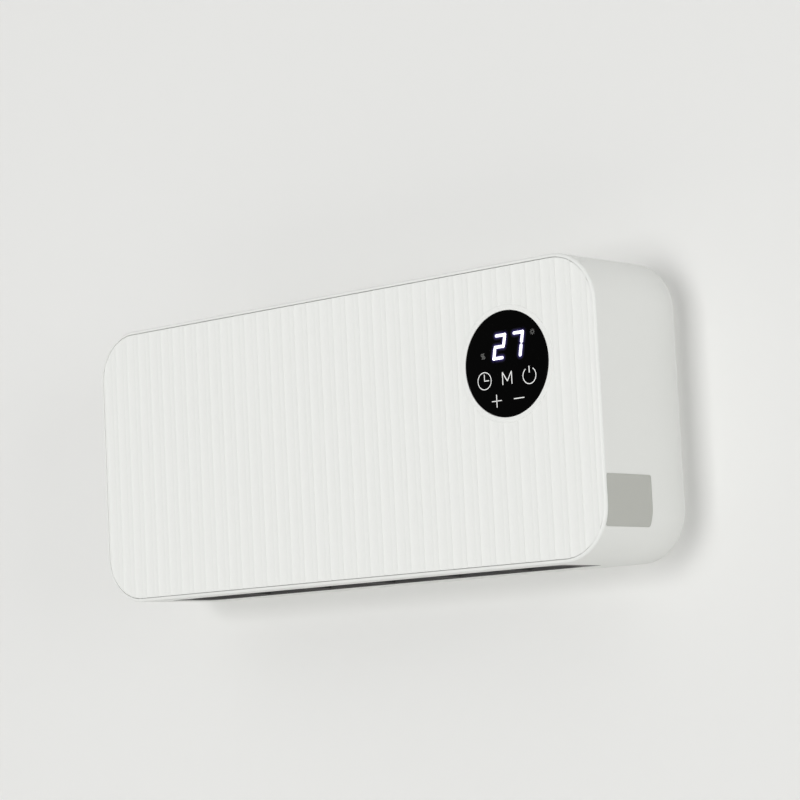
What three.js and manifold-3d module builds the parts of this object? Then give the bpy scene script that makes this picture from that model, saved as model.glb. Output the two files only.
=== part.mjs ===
// Bathroom wall fan heater, an assembly of separate pieces.
//
// Millimetres. +X is to the right seen from the front, +Y runs towards the wall, +Z is up.
// The origin is the centre of the rear cover's flat back face, which lies on the wall.
// Air enters through the grille on top, passes the cross-flow fan and the heating bank,
// and leaves through the outlet in the underside.

import * as THREE from 'three';
import { mergeVertices } from 'three/addons/utils/BufferGeometryUtils.js';
import Module from 'manifold-3d';

const wasm = await Module();
wasm.setup();

// ---------------------------------------------------------------- driving dimensions

// General clearances
const GAP = 0.3;                   // between pieces that seat on each other
const PANEL_SEAM = 0.4;            // visible seam between the front panel and the rim
const MERGE_DISTANCE = 1e-4;

// Casing
const WIDTH = 450;
const HEIGHT = 193;
const CASING_DEPTH = 81;
const WALL_STAND_OFF = 3;
const CORNER_RADIUS = 34;
const CASING_WALL = 2.2;
const EDGE_ROUND = 1.8;
const FRONT_WALL = 2;
const SIDE_BAY = 55;               // from the casing's side to the outlet's end

// Front panel: upright ridges, high and low in turn, with shallow hollows between them.
// Each ridge falls steeply to its left and gently to its right.
const PANEL_THICKNESS = 2.8;
const RIDGE_PITCH = 11.88;         // from one high ridge to the next
const LOW_RIDGE_PLACE = 7.3;       // from a high ridge to the low one on its right
const HIGH_RIDGE = 0.75;           // above the hollows
const LOW_RIDGE = 0.3;
const STEEP_RUN = 0.9;
const GENTLE_RUN = 4;
const GENTLE_BEND = 0.4;           // share of the gentle run at which it has mostly fallen
const BEND_HEIGHT = 0.25;          // share of the ridge's height left there
const RIDGE_MARGIN = 2;
const HOOK_WIDTH = 9;
const HOOK_THICKNESS = 1.8;
const HOOK_LIP = 1.2;
const HOOK_SPACING = 150;
const HOOK_INSET = 7;

// Display
const DISPLAY_INSET = 72.5;         // from the casing's right side
const DISPLAY_Z = 32;
const DISC_RADIUS = 33.9;
const COLLAR_WIDTH = 3.6;
const LENS_EDGE = 0.5;
const WINDOW_LEDGE = 3.6;
const DISPLAY_DEPTH = 10.6;
const CARRIER_WALL = 1.6;
const DISPLAY_BOARD_DEPTH = 4.2;    // behind the front wall's front face
const BOARD_THICKNESS = 1.6;
const DIGITS_WIDTH = 30;
const DIGITS_HEIGHT = 24;
const DIGITS_RISE = 10.2;
const TOUCH_SPRING_RADIUS = 3;
const TOUCH_KEYS = [[-19, -9], [18, -9.5], [-10, -22.5], [8.5, -22.5], [0, -11]];
const RECEIVER_PLACE = [-19.5, 7];
const RECEIVER_SIZE = 5;
const DISPLAY_SCREW_SLOPE = THREE.MathUtils.degToRad(25);

// Small screws, all of one pattern
const SCREW_SHANK = 1.3;
const SCREW_HEAD = 3.1;
const SCREW_HEAD_HEIGHT = 2;
const SCREW_CROWN = 2.3;
const SCREW_LENGTH = 11;
const DISPLAY_SCREW_LENGTH = 8;
const SCREW_BORE = SCREW_SHANK + GAP;
const BOSS_WALL = 1.9;

// Rear cover
const COVER_THICKNESS = 2.4;
const COVER_FLANGE = 14;
const POST_INSET = 8;
const KEYHOLE_SPACING = 260;
const KEYHOLE_HEIGHT = 50;
const KEYHOLE_ENTRY_RADIUS = 4.6;
const KEYHOLE_SLOT = 4.8;
const KEYHOLE_TRAVEL = 10;
const GUIDE_WALL = 2;
const GUIDE_DEPTH = 5;
const GUIDE_SHORTFALL = 10;

// Outlet
const OUTLET_DEPTH = 41.5;
const OUTLET_SETBACK = 15;
const OUTLET_END_RADIUS = 19;
const DUCT_WALL = 2;
const FRAME_HEIGHT = 32.5;
const FRAME_FLANGE = 4;
const MOUTH_RECESS = 0.4;
const GUARD_PITCH = 59;
const GUARD_THICKNESS = 1.8;
const GUARD_HEIGHT = 5.5;
const LOUVER_HALF_CHORD = 10.5;
const LOUVER_THICKNESS = 1.8;
const LOUVER_BOW = 1.2;
const LOUVER_PIN_RADIUS = 2;
const LOUVER_END_GAP = 1.2;
const LOUVER_MOTOR_RADIUS = 12;
const LOUVER_MOTOR_LENGTH = 15;
const LOUVER_SHAFT_REACH = 6;

// Fan
const ROTOR_HEIGHT = 28;
const ROTOR_GAP = 2.5;
const ROTOR_END_GAP = 3;
const BLADE_COUNT = 16;
const BLADE_DEPTH = 6;
const BLADE_THICKNESS = 1.1;
const BLADE_LEAN = 0.31;
const BLADE_MIDDLE_LEAN = 0.24;
const DISC_COUNT = 3;
const ROTOR_DISC = 1.8;
const HUB_RADIUS = 7;
const HUB_LENGTH = 13;
const HUB_FLOOR = 1;
const HUB_CLEARANCE = 2;
const SHAFT_RADIUS = 2.5;
const SCROLL_START = THREE.MathUtils.degToRad(30);
const SCROLL_END = THREE.MathUtils.degToRad(-18);
const SCROLL_GROWTH = 3;
const SCROLL_STEPS = 6;
const SCROLL_CLEARANCE = 4.3;       // behind the scroll, in front of the rear cover
const TONGUE_ANGLE = THREE.MathUtils.degToRad(215);
const END_PLATE = 2.5;
const DUCT_END_INSET = 4;
const DISPLAY_NOTCH = 3;
const MOTOR_RADIUS = 20;
const MOTOR_LENGTH = 30;
const MOTOR_EDGE = 1.2;
const MOTOR_NOSE = 3;
const MOTOR_SHAFT_DEPTH = 18;
const MOTOR_BOSS_HEIGHT = 6;
const MOTOR_STRAP_CLEARANCE = 2;
const BEARING_RADIUS = 6;
const BEARING_LENGTH = 6;
const BEARING_RUBBER = 4.4;

// Heating bank
const HEATER_HEIGHT = 16;
const HOLDER_LENGTH = 17.7;
const OUTER_BAR = 2.5;
const MIDDLE_BAR = 4;
const FIN_PITCH = 12;
const FIN_CREST = 1.6;
const FIN_SHEET = 0.5;
const FIN_END_GAP = 1;
const HOLDER_HEIGHT = 20;
const THERMOSTAT_RADIUS = 7;
const THERMOSTAT_HEIGHT = 6;
const THERMOSTAT_EDGE = 2;
const FUSE_RADIUS = 2;
const FUSE_HALF_LENGTH = 6;

// Intake grille
const INTAKE_END_INSET = 20;        // shorter than the outlet at each end
const INTAKE_SKIRT = 8.5;
const INTAKE_CORNER = 4;
const INTAKE_SLOT = 3.4;
const INTAKE_SLOT_PITCH = 10;
const INTAKE_BAR = 7;
const FILTER_THICKNESS = 1.2;
const FILTER_LEDGE = 1.5;

// Rocker switch and cord gland, in the left side
const SWITCH_Y = -26;
const SWITCH_Z = -20;
const SWITCH_HALF_WIDTH = 6.5;
const SWITCH_HALF_HEIGHT = 9.6;
const SWITCH_BEZEL = 1.6;
const SWITCH_RECESS = 3.4;
const SWITCH_DEPTH = 18;
const SWITCH_FLOOR = 4;
const ROCKER_TILT = THREE.MathUtils.degToRad(7);
const ROCKER_PROUD = 4;
const ROCKER_PIVOT_DEPTH = 2;
const GLAND_Y = -20;
const GLAND_Z = -50;
const GLAND_BORE = 3.6;
const GLAND_WALL = 2.4;
const GLAND_LENGTH = 13;
const GLAND_FLANGE = 2.5;
const GLAND_TAPER = 0.8;

// Electronics
const MAIN_BOARD_INSET = 44;        // from the casing's right side
const MAIN_BOARD_HALF_HEIGHT = 56;
const MAIN_BOARD_DEPTH = 56;
const RELAY_HEIGHT = 15;
const RELAY_HALF_DEPTH = 8;
const RELAY_HALF_HEIGHT = 9.5;
const RELAY_PLACES = [[12, 24], [12, 46]];    // off the board's middle, below its top
const TRANSFORMER_HEIGHT = 24;
const TRANSFORMER_HALF_DEPTH = 12;
const TRANSFORMER_HALF_HEIGHT = 15;
const TRANSFORMER_PLACE = [-8, 26];           // off the board's middle, above its foot
const CAPACITOR_RADIUS = 7;
const CAPACITOR_LENGTH = 22;
const CAPACITOR_EDGE = 0.8;
const CAPACITOR_PLACE = [-12, 32];            // off the board's middle, below its top
const TERMINAL_INSET = 29;          // from the casing's left side
const TERMINAL_HALF_LENGTH = 11;
const TERMINAL_HALF_HEIGHT = 9;
const TERMINAL_DEPTH = 13;
const LABEL_LENGTH = 45;
const LABEL_HEIGHT = 32;
const LABEL_THICKNESS = 0.4;
const LABEL_SETBACK = 2;
const LABEL_RISE = 36.5;            // above the casing's underside
const LABEL_CORNER = 1.5;
const LEAD_RADIUS = 1.7;
const LEAD_SIDES = 8;
const LEAD_STUB = 6;
const LEAD_RISE = 38;
const HEATER_LEAD_SPREAD = 9;
const HEATER_LEAD_STEPS = 12;
const TERMINAL_SPREAD = 5;
const MOTOR_LEAD_PLACE = [10, 8];
const MOTOR_LEAD_BEND = [18, 24];
const MOTOR_LEAD_STEPS = 26;

// Smoothness of round forms
const CORNER_STEPS = 4;
const SMALL_STEPS = 2;
const ROUND_SIDES = 24;
const SMALL_SIDES = 12;

// ---------------------------------------------------------------- derived places

const halfWidth = WIDTH / 2;
const halfHeight = HEIGHT / 2;
const innerHalfWidth = halfWidth - CASING_WALL;
const innerHalfHeight = halfHeight - CASING_WALL;
const innerCorner = CORNER_RADIUS - CASING_WALL;

const casingBack = -WALL_STAND_OFF;
const frontFace = casingBack - CASING_DEPTH;
const panelBack = frontFace + PANEL_THICKNESS;
const frontWallFront = panelBack + GAP;
const frontWallBack = frontWallFront + FRONT_WALL;
const coverInside = casingBack - COVER_THICKNESS;
const recessInside = -COVER_THICKNESS;

const displayX = halfWidth - DISPLAY_INSET;
const outletLength = WIDTH - 2 * SIDE_BAY;
const intakeLength = outletLength - 2 * INTAKE_END_INSET;
const outletCentreY = frontFace + OUTLET_SETBACK + OUTLET_DEPTH / 2;
const frameHalfLength = outletLength / 2 - GAP;
const frameHalfDepth = OUTLET_DEPTH / 2 - GAP;
const frameEndRadius = OUTLET_END_RADIUS - GAP;
const frameMouth = -halfHeight + MOUTH_RECESS;
const frameTop = -halfHeight + FRAME_HEIGHT;
const frameFlangeTop = -innerHalfHeight + GAP + DUCT_WALL;
const ductBottom = frameTop + GAP;
const ductFrontLine = outletCentreY - frameHalfDepth + DUCT_WALL / 2;
const ductRearLine = outletCentreY + frameHalfDepth - DUCT_WALL / 2;
const ductHalf = outletLength / 2 - DUCT_END_INSET;
const plateInner = ductHalf + GAP;
const plateOuter = plateInner + END_PLATE;
const heaterHalf = ductHalf - HOLDER_LENGTH - GAP;

const intakeFloor = halfHeight - INTAKE_SKIRT;
const ductTop = intakeFloor - GAP;

const carrierBack = frontWallBack + GAP + DISPLAY_DEPTH;
const earBack = carrierBack - SCREW_HEAD_HEIGHT - 2 * GAP;
const inletFrontLine = carrierBack + GAP + DUCT_WALL / 2;
const ductFace = inletFrontLine + DUCT_WALL / 2;
const rotorRadius = (coverInside - SCROLL_CLEARANCE - ductFace
  - 2 * ROTOR_GAP - DUCT_WALL - SCROLL_GROWTH) / 2;
const rotorY = ductFace + ROTOR_GAP + rotorRadius;
const rotorZ = ROTOR_HEIGHT;
const scrollRadius = rotorRadius + ROTOR_GAP + DUCT_WALL / 2;
const inletRearLine = rotorY + scrollRadius * Math.cos(SCROLL_START);
const rotorHalf = ductHalf - ROTOR_END_GAP;

const louverZ = frameMouth + GUARD_HEIGHT + 2 * GAP + LOUVER_HALF_CHORD;
const louverHalf = frameHalfLength - DUCT_WALL - LOUVER_END_GAP;
const screwBossRadius = SCREW_BORE + BOSS_WALL;

const boardInner = halfWidth - MAIN_BOARD_INSET;
const boardFace = boardInner + BOARD_THICKNESS;
const boardRear = coverInside - GAP;
const boardFront = boardRear - MAIN_BOARD_DEPTH;
const terminalX = TERMINAL_INSET - halfWidth;
const terminalSpan = [terminalX - TERMINAL_HALF_LENGTH, terminalX + TERMINAL_HALF_LENGTH];

// ---------------------------------------------------------------- materials

function finish(color, roughness, metalness = 0) {
  return new THREE.MeshStandardMaterial({ color, roughness, metalness });
}

const whiteShell = finish(0xe7e8e5, 0.42);
const darkPlastic = finish(0x3b3a39, 0.5);
const glossBlack = finish(0x17181a, 0.08);
const naturalPlastic = finish(0xd8d6cf, 0.6);
const heatPlastic = finish(0x9a958a, 0.7);
const rubber = finish(0x232323, 0.85);
const steel = finish(0xb9bcc0, 0.35, 0.9);
const aluminium = finish(0xc9cccf, 0.4, 0.9);
const bronze = finish(0xa9824f, 0.45, 0.8);
const circuitGreen = finish(0x1f5c3c, 0.5);
const labelGrey = finish(0xb8b9b3, 0.55);
const relayBlue = finish(0x2b5c9e, 0.5);
const coilYellow = finish(0xc9a227, 0.55);
const leadSleeve = finish(0xe3e0d8, 0.6);
const filterNet = finish(0x70757a, 0.9);

// ---------------------------------------------------------------- shape helpers

function solidOf(geometry) {
  geometry.deleteAttribute('normal');
  geometry.deleteAttribute('uv');
  const merged = mergeVertices(geometry, MERGE_DISTANCE);
  return new wasm.Manifold(new wasm.Mesh({
    numProp: 3,
    vertProperties: new Float32Array(merged.attributes.position.array),
    triVerts: new Uint32Array(merged.index.array),
  }));
}

function geometryOf(solid) {
  const mesh = solid.getMesh();
  const geometry = new THREE.BufferGeometry();
  geometry.setAttribute('position', new THREE.BufferAttribute(mesh.vertProperties, 3));
  geometry.setIndex(new THREE.BufferAttribute(mesh.triVerts, 1));
  geometry.computeVertexNormals();
  return geometry;
}

function piece(name, solid, material, position = [0, 0, 0]) {
  const mesh = new THREE.Mesh(geometryOf(solid), material);
  mesh.name = name;
  mesh.position.set(...position);
  return mesh;
}

function united(solids) {
  return solids.reduce((whole, next) => whole.add(next));
}

function cutBy(solid, tools) {
  return tools.reduce((rest, tool) => rest.subtract(tool), solid);
}

function roundedRectangle(halfX, halfY, radius, centreX = 0, centreY = 0) {
  const shape = new THREE.Shape();
  const x = halfX - radius;
  const y = halfY - radius;
  const quarter = Math.PI / 2;
  if (radius === 0) {
    shape.moveTo(centreX - x, centreY - y);
    shape.lineTo(centreX + x, centreY - y);
    shape.lineTo(centreX + x, centreY + y);
    shape.lineTo(centreX - x, centreY + y);
    return shape;
  }
  shape.absarc(centreX + x, centreY - y, radius, -quarter, 0);
  shape.absarc(centreX + x, centreY + y, radius, 0, quarter);
  shape.absarc(centreX - x, centreY + y, radius, quarter, 2 * quarter);
  shape.absarc(centreX - x, centreY - y, radius, 2 * quarter, 3 * quarter);
  return shape;
}

function polygon(points) {
  return new THREE.Shape(points.map(([a, b]) => new THREE.Vector2(a, b)));
}

// An outline in X and Z, extruded along Y between two values.
function slabY(shape, back, front, steps = CORNER_STEPS) {
  const geometry = new THREE.ExtrudeGeometry(shape, {
    depth: back - front, bevelEnabled: false, curveSegments: steps,
  });
  geometry.rotateX(Math.PI / 2).translate(0, back, 0);
  return solidOf(geometry);
}

// An outline in Y and Z, extruded along X.
function slabX(shape, from, to, steps = CORNER_STEPS) {
  const geometry = new THREE.ExtrudeGeometry(shape, {
    depth: to - from, bevelEnabled: false, curveSegments: steps,
  });
  const alongX = new THREE.Matrix4().makeBasis(
    new THREE.Vector3(0, 1, 0), new THREE.Vector3(0, 0, 1), new THREE.Vector3(1, 0, 0));
  geometry.applyMatrix4(alongX).translate(from, 0, 0);
  return solidOf(geometry);
}

// An outline in X and Y, extruded along Z.
function slabZ(shape, from, to, steps = CORNER_STEPS) {
  const geometry = new THREE.ExtrudeGeometry(shape, {
    depth: to - from, bevelEnabled: false, curveSegments: steps,
  });
  geometry.translate(0, 0, from);
  return solidOf(geometry);
}

function block([x0, x1], [y0, y1], [z0, z1]) {
  const geometry = new THREE.BoxGeometry(x1 - x0, y1 - y0, z1 - z0);
  geometry.translate((x0 + x1) / 2, (y0 + y1) / 2, (z0 + z1) / 2);
  return solidOf(geometry);
}

// A turned solid. The profile lists [radius, place along the axis], outer side rising.
function turned(axis, [a, b], profile, sides = ROUND_SIDES) {
  const points = profile.map(([radius, along]) => new THREE.Vector2(radius, along));
  const geometry = new THREE.LatheGeometry(points, sides);
  const x = new THREE.Vector3(1, 0, 0);
  const y = new THREE.Vector3(0, 1, 0);
  const z = new THREE.Vector3(0, 0, 1);
  const turn = new THREE.Matrix4();
  if (axis === 'x') {
    turn.makeBasis(y, x, z.clone().negate());
    geometry.applyMatrix4(turn).translate(0, a, b);
  } else if (axis === 'z') {
    turn.makeBasis(x, z, y.clone().negate());
    geometry.applyMatrix4(turn).translate(a, b, 0);
  } else {
    geometry.translate(a, 0, b);
  }
  return solidOf(geometry);
}

function rod(axis, centre, radius, from, to, sides = ROUND_SIDES) {
  return turned(axis, centre, [[0, from], [radius, from], [radius, to], [0, to]], sides);
}

function ring(axis, centre, inner, outer, from, to, sides = ROUND_SIDES) {
  return turned(axis, centre, [[inner, from], [outer, from], [outer, to], [inner, to],
    [inner, from]], sides);
}

// The closed outline of a bent sheet whose middle line runs through the points.
function sheetOutline(points, thickness) {
  const line = points.map(([a, b]) => new THREE.Vector2(a, b));
  const left = [];
  const right = [];
  line.forEach((point, i) => {
    const before = line[Math.max(i - 1, 0)];
    const after = line[Math.min(i + 1, line.length - 1)];
    const into = point.clone().sub(before).normalize();
    const out = after.clone().sub(point).normalize();
    if (i === 0) into.copy(out);
    if (i === line.length - 1) out.copy(into);
    const along = into.clone().add(out).normalize();
    const normal = new THREE.Vector2(-along.y, along.x);
    const reach = thickness / 2 / Math.max(Math.abs(normal.dot(
      new THREE.Vector2(-out.y, out.x))), thickness / 10);
    left.push(point.clone().addScaledVector(normal, reach));
    right.push(point.clone().addScaledVector(normal, -reach));
  });
  return new THREE.Shape([...right, ...left.reverse()]);
}

// A small screw whose head seats at `seat`, with its shank pointing along the sign given.
function screwSolid(axis, seat, sign, length = SCREW_LENGTH) {
  const far = seat + sign * length;
  const top = seat - sign * SCREW_HEAD_HEIGHT;
  const profile = [[0, far], [SCREW_SHANK, far], [SCREW_SHANK, seat], [SCREW_HEAD, seat],
    [SCREW_HEAD, top + sign * SCREW_HEAD_HEIGHT / 3], [SCREW_CROWN, top], [0, top]];
  return turned(axis, [0, 0], sign < 0 ? profile : profile.reverse(), SMALL_SIDES);
}

// ---------------------------------------------------------------- casing

function coverPosts() {
  const reach = (innerCorner - POST_INSET) * Math.SQRT1_2;
  const x = halfWidth - CORNER_RADIUS + reach;
  const z = halfHeight - CORNER_RADIUS + reach;
  return [[-x, -z], [x, -z], [x, z], [-x, z]];
}

function hookPlaces() {
  const z = innerHalfHeight - PANEL_SEAM - HOOK_INSET;
  return [-HOOK_SPACING, 0, HOOK_SPACING].flatMap((x) => [[x, z], [x, -z]]);
}

function displayScrewPlaces() {
  const reach = DISC_RADIUS + SCREW_HEAD + GAP;
  const x = reach * Math.cos(DISPLAY_SCREW_SLOPE);
  const z = reach * Math.sin(DISPLAY_SCREW_SLOPE);
  return [[displayX - x, DISPLAY_Z + z], [displayX + x, DISPLAY_Z - z]];
}

function outletOutline(growth) {
  return roundedRectangle(outletLength / 2 + growth, OUTLET_DEPTH / 2 + growth,
    OUTLET_END_RADIUS + growth, 0, outletCentreY);
}

// The grille's walls stand over the duct's upper edges.
const intakeFront = inletFrontLine - DUCT_WALL / 2;
const intakeRear = inletRearLine + DUCT_WALL / 2;
const intakeCentreY = (intakeFront + intakeRear) / 2;
const intakeHalfDepth = (intakeRear - intakeFront) / 2;

function intakeOutline(growth) {
  return roundedRectangle(intakeLength / 2 + growth, intakeHalfDepth + growth,
    INTAKE_CORNER + growth, 0, intakeCentreY);
}

function casingShell() {
  const outline = roundedRectangle(halfWidth, halfHeight, CORNER_RADIUS);
  const rounded = new THREE.ExtrudeGeometry(outline, {
    depth: CASING_DEPTH, bevelThickness: EDGE_ROUND, bevelSize: EDGE_ROUND,
    bevelOffset: -EDGE_ROUND, bevelSegments: 2, curveSegments: CORNER_STEPS,
  });
  rounded.rotateX(Math.PI / 2).translate(0, frontFace + EDGE_ROUND + CASING_DEPTH, 0);
  const behind = block([-WIDTH, WIDTH], [casingBack, casingBack + CASING_DEPTH],
    [-HEIGHT, HEIGHT]);
  const inside = slabY(roundedRectangle(innerHalfWidth, innerHalfHeight, innerCorner),
    casingBack + EDGE_ROUND, frontFace - EDGE_ROUND);
  const wall = slabY(roundedRectangle(innerHalfWidth, innerHalfHeight, innerCorner),
    frontWallBack, frontWallFront);
  return cutBy(solidOf(rounded), [behind, inside]).add(wall);
}

function switchPocket(depth, growth) {
  return block([-halfWidth - GAP, -halfWidth + depth],
    [SWITCH_Y - SWITCH_HALF_WIDTH - SWITCH_BEZEL - growth,
      SWITCH_Y + SWITCH_HALF_WIDTH + SWITCH_BEZEL + growth],
    [SWITCH_Z - SWITCH_HALF_HEIGHT - SWITCH_BEZEL - growth,
      SWITCH_Z + SWITCH_HALF_HEIGHT + SWITCH_BEZEL + growth]);
}

function outerCasing() {
  const leftSide = block([-halfWidth, 0], [frontFace, casingBack], [-halfHeight, halfHeight]);
  const additions = [
    switchPocket(SWITCH_RECESS + CASING_WALL, CASING_WALL + GAP).intersect(leftSide),
  ];
  for (const [x, z] of coverPosts()) {
    additions.push(rod('y', [x, z], screwBossRadius, frontWallBack - FRONT_WALL / 2,
      coverInside - GAP, SMALL_SIDES));
  }
  for (const [x, z] of displayScrewPlaces()) {
    additions.push(rod('y', [x, z], screwBossRadius, frontWallBack - FRONT_WALL / 2,
      earBack - CARRIER_WALL - GAP, SMALL_SIDES));
  }
  const cuts = [
    rod('y', [displayX, DISPLAY_Z], DISC_RADIUS - WINDOW_LEDGE, frontWallFront - GAP,
      frontWallBack + GAP, ROUND_SIDES),
    slabZ(outletOutline(0), -halfHeight - GAP, -innerHalfHeight + GAP),
    slabZ(intakeOutline(GAP), innerHalfHeight - GAP, halfHeight + GAP, SMALL_STEPS),
    switchPocket(SWITCH_RECESS, GAP),
    block([-halfWidth, -halfWidth + SWITCH_RECESS + 2 * CASING_WALL],
      [SWITCH_Y - SWITCH_HALF_WIDTH - GAP, SWITCH_Y + SWITCH_HALF_WIDTH + GAP],
      [SWITCH_Z - SWITCH_HALF_HEIGHT - GAP, SWITCH_Z + SWITCH_HALF_HEIGHT + GAP]),
    rod('x', [GLAND_Y, GLAND_Z], GLAND_BORE + GLAND_WALL + GAP, -halfWidth - GAP,
      -innerHalfWidth + GAP, ROUND_SIDES),
    labelSkin(GAP, LABEL_THICKNESS + GAP),
  ];
  for (const [x, z] of hookPlaces()) {
    cuts.push(block([x - HOOK_WIDTH / 2 - GAP, x + HOOK_WIDTH / 2 + GAP],
      [frontWallFront - GAP, frontWallBack + GAP],
      [z - HOOK_THICKNESS / 2 - HOOK_LIP - GAP, z + HOOK_THICKNESS / 2 + GAP]));
  }
  for (const [x, z] of coverPosts()) {
    const bottom = coverInside - SCREW_LENGTH - GAP;
    cuts.push(rod('y', [x, z], SCREW_BORE, bottom, coverInside, SMALL_SIDES));
  }
  for (const [x, z] of displayScrewPlaces()) {
    cuts.push(rod('y', [x, z], SCREW_BORE, frontWallFront + FRONT_WALL / 2, carrierBack,
      SMALL_SIDES));
  }
  return piece('outer_casing', cutBy(united([casingShell(), ...additions]), cuts), whiteShell);
}

// ---------------------------------------------------------------- front panel

function ridgeProfile(halfSpan) {
  const hollow = frontFace + HIGH_RIDGE;
  const points = [];
  const ridge = (place, height) => {
    const run = (GENTLE_RUN * height) / HIGH_RIDGE;
    points.push([place - STEEP_RUN, hollow]);
    points.push([place, hollow - height]);
    points.push([place + run * GENTLE_BEND, hollow - height * BEND_HEIGHT]);
    points.push([place + run, hollow]);
  };
  const count = Math.ceil((2 * halfSpan) / RIDGE_PITCH) + 1;
  for (let i = -1; i < count; i += 1) {
    const start = -halfSpan + RIDGE_MARGIN + i * RIDGE_PITCH;
    ridge(start, HIGH_RIDGE);
    ridge(start + LOW_RIDGE_PLACE, LOW_RIDGE);
  }
  return points;
}

function frontPanel() {
  const halfX = innerHalfWidth - PANEL_SEAM;
  const halfZ = innerHalfHeight - PANEL_SEAM;
  const blank = slabY(roundedRectangle(halfX, halfZ, innerCorner - PANEL_SEAM), panelBack,
    frontFace);
  const ridges = ridgeProfile(halfX);
  const last = ridges.length - 1;
  const ridged = slabZ(polygon([[ridges[last][0], panelBack + GAP],
    [ridges[0][0], panelBack + GAP], ...ridges]), -halfZ - GAP, halfZ + GAP);
  const centre = [displayX, DISPLAY_Z];
  const collar = rod('y', centre, DISC_RADIUS + COLLAR_WIDTH, frontFace, panelBack,
    2 * ROUND_SIDES);
  const hole = rod('y', centre, DISC_RADIUS + PANEL_SEAM, frontFace - GAP, panelBack + GAP,
    2 * ROUND_SIDES);
  const hooks = hookPlaces().map(([x, z]) => {
    const shank = block([x - HOOK_WIDTH / 2, x + HOOK_WIDTH / 2],
      [panelBack - GAP, frontWallBack + 2 * GAP + HOOK_THICKNESS],
      [z - HOOK_THICKNESS / 2, z + HOOK_THICKNESS / 2]);
    const lip = block([x - HOOK_WIDTH / 2, x + HOOK_WIDTH / 2],
      [frontWallBack + GAP, frontWallBack + 2 * GAP + HOOK_THICKNESS],
      [z, z + HOOK_THICKNESS / 2 + HOOK_LIP + GAP]);
    return shank.add(lip);
  });
  const face = blank.intersect(ridged).add(collar).subtract(hole);
  return piece('front_panel', united([face, ...hooks]), whiteShell);
}

// ---------------------------------------------------------------- rear cover

function keyhole(x) {
  const back = GAP;
  const front = recessInside - GAP;
  const entry = rod('y', [x, KEYHOLE_HEIGHT], KEYHOLE_ENTRY_RADIUS, front, back, SMALL_SIDES);
  const slot = slabY(roundedRectangle(KEYHOLE_SLOT / 2, (KEYHOLE_TRAVEL + KEYHOLE_SLOT) / 2,
    KEYHOLE_SLOT / 2, x, KEYHOLE_HEIGHT + KEYHOLE_TRAVEL / 2), back, front, SMALL_STEPS);
  return entry.add(slot);
}

function rearCover() {
  const halfX = innerHalfWidth - GAP;
  const halfZ = innerHalfHeight - GAP;
  const corner = innerCorner - GAP;
  const inset = (by) => roundedRectangle(halfX - by, halfZ - by, corner - by);
  const flange = slabY(inset(0), casingBack, coverInside);
  const raised = slabY(inset(COVER_FLANGE), 0, coverInside);
  const recess = slabY(inset(COVER_FLANGE + COVER_THICKNESS), recessInside, coverInside - GAP);
  const ribs = [-1, 1].map((side) => block(
    [side * (plateInner + END_PLATE / 2) - END_PLATE / 2,
      side * (plateInner + END_PLATE / 2) + END_PLATE / 2],
    [coverInside, recessInside + GAP], [ductBottom + END_PLATE, -ductBottom]));
  const guides = [[boardInner - GAP - GUIDE_WALL, boardInner - GAP],
    [boardFace + GAP, boardFace + GAP + GUIDE_WALL]].map((span) => block(
    span, [coverInside - GUIDE_DEPTH, recessInside + GAP],
    [-MAIN_BOARD_HALF_HEIGHT, MAIN_BOARD_HALF_HEIGHT - GUIDE_SHORTFALL]));
  const terminalPad = block(terminalSpan, [coverInside, recessInside + GAP],
    [GLAND_Z - TERMINAL_HALF_HEIGHT, GLAND_Z + TERMINAL_HALF_HEIGHT]);
  const body = united([cutBy(flange.add(raised), [recess]), ...ribs, ...guides, terminalPad]);
  const cuts = [keyhole(-KEYHOLE_SPACING / 2), keyhole(KEYHOLE_SPACING / 2)];
  for (const [x, z] of coverPosts()) {
    cuts.push(rod('y', [x, z], SCREW_BORE, coverInside - GAP, GAP, SMALL_SIDES));
  }
  return piece('rear_cover', cutBy(body, cuts), whiteShell);
}

function coverScrews() {
  return coverPosts().map(([x, z], i) => piece(`cover_screw_${i + 1}`,
    screwSolid('y', casingBack + GAP, -1), steel, [x, 0, z]));
}

// ---------------------------------------------------------------- display

const carrierOuter = DISC_RADIUS - GAP;
const displayBoardFront = frontWallFront + DISPLAY_BOARD_DEPTH;
const displayBoardBack = displayBoardFront + BOARD_THICKNESS;
const lensBack = frontFace + PANEL_THICKNESS;

function displayLens() {
  return piece('display_lens', turned('y', [displayX, DISPLAY_Z], [[0, frontFace],
    [DISC_RADIUS - LENS_EDGE, frontFace], [DISC_RADIUS, frontFace + LENS_EDGE],
    [DISC_RADIUS, lensBack],
    [0, lensBack]], 2 * ROUND_SIDES), glossBlack);
}

function displayCarrier() {
  const centre = [displayX, DISPLAY_Z];
  const front = frontWallBack + GAP;
  const cup = rod('y', centre, carrierOuter, front, carrierBack, 1.5 * ROUND_SIDES);
  const bowl = rod('y', centre, carrierOuter - CARRIER_WALL, front - GAP,
    carrierBack - CARRIER_WALL, 1.5 * ROUND_SIDES);
  const seatReach = DIGITS_WIDTH / 2 + TOUCH_SPRING_RADIUS;
  const seats = [-1, 1].map((side) => rod('y', [displayX + side * seatReach, DISPLAY_Z],
    TOUCH_SPRING_RADIUS, displayBoardBack + GAP, carrierBack - CARRIER_WALL / 2, SMALL_SIDES));
  const ears = displayScrewPlaces().map(([x, z]) => rod('y', [x, z],
    screwBossRadius + CARRIER_WALL + GAP, earBack - CARRIER_WALL, earBack, SMALL_SIDES));
  const bores = displayScrewPlaces().map(([x, z]) => rod('y', [x, z], SCREW_BORE,
    front, carrierBack + GAP, SMALL_SIDES));
  const body = united([cup, ...ears]).subtract(bowl);
  return piece('display_carrier', cutBy(united([body, ...seats]), bores), naturalPlastic);
}

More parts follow.
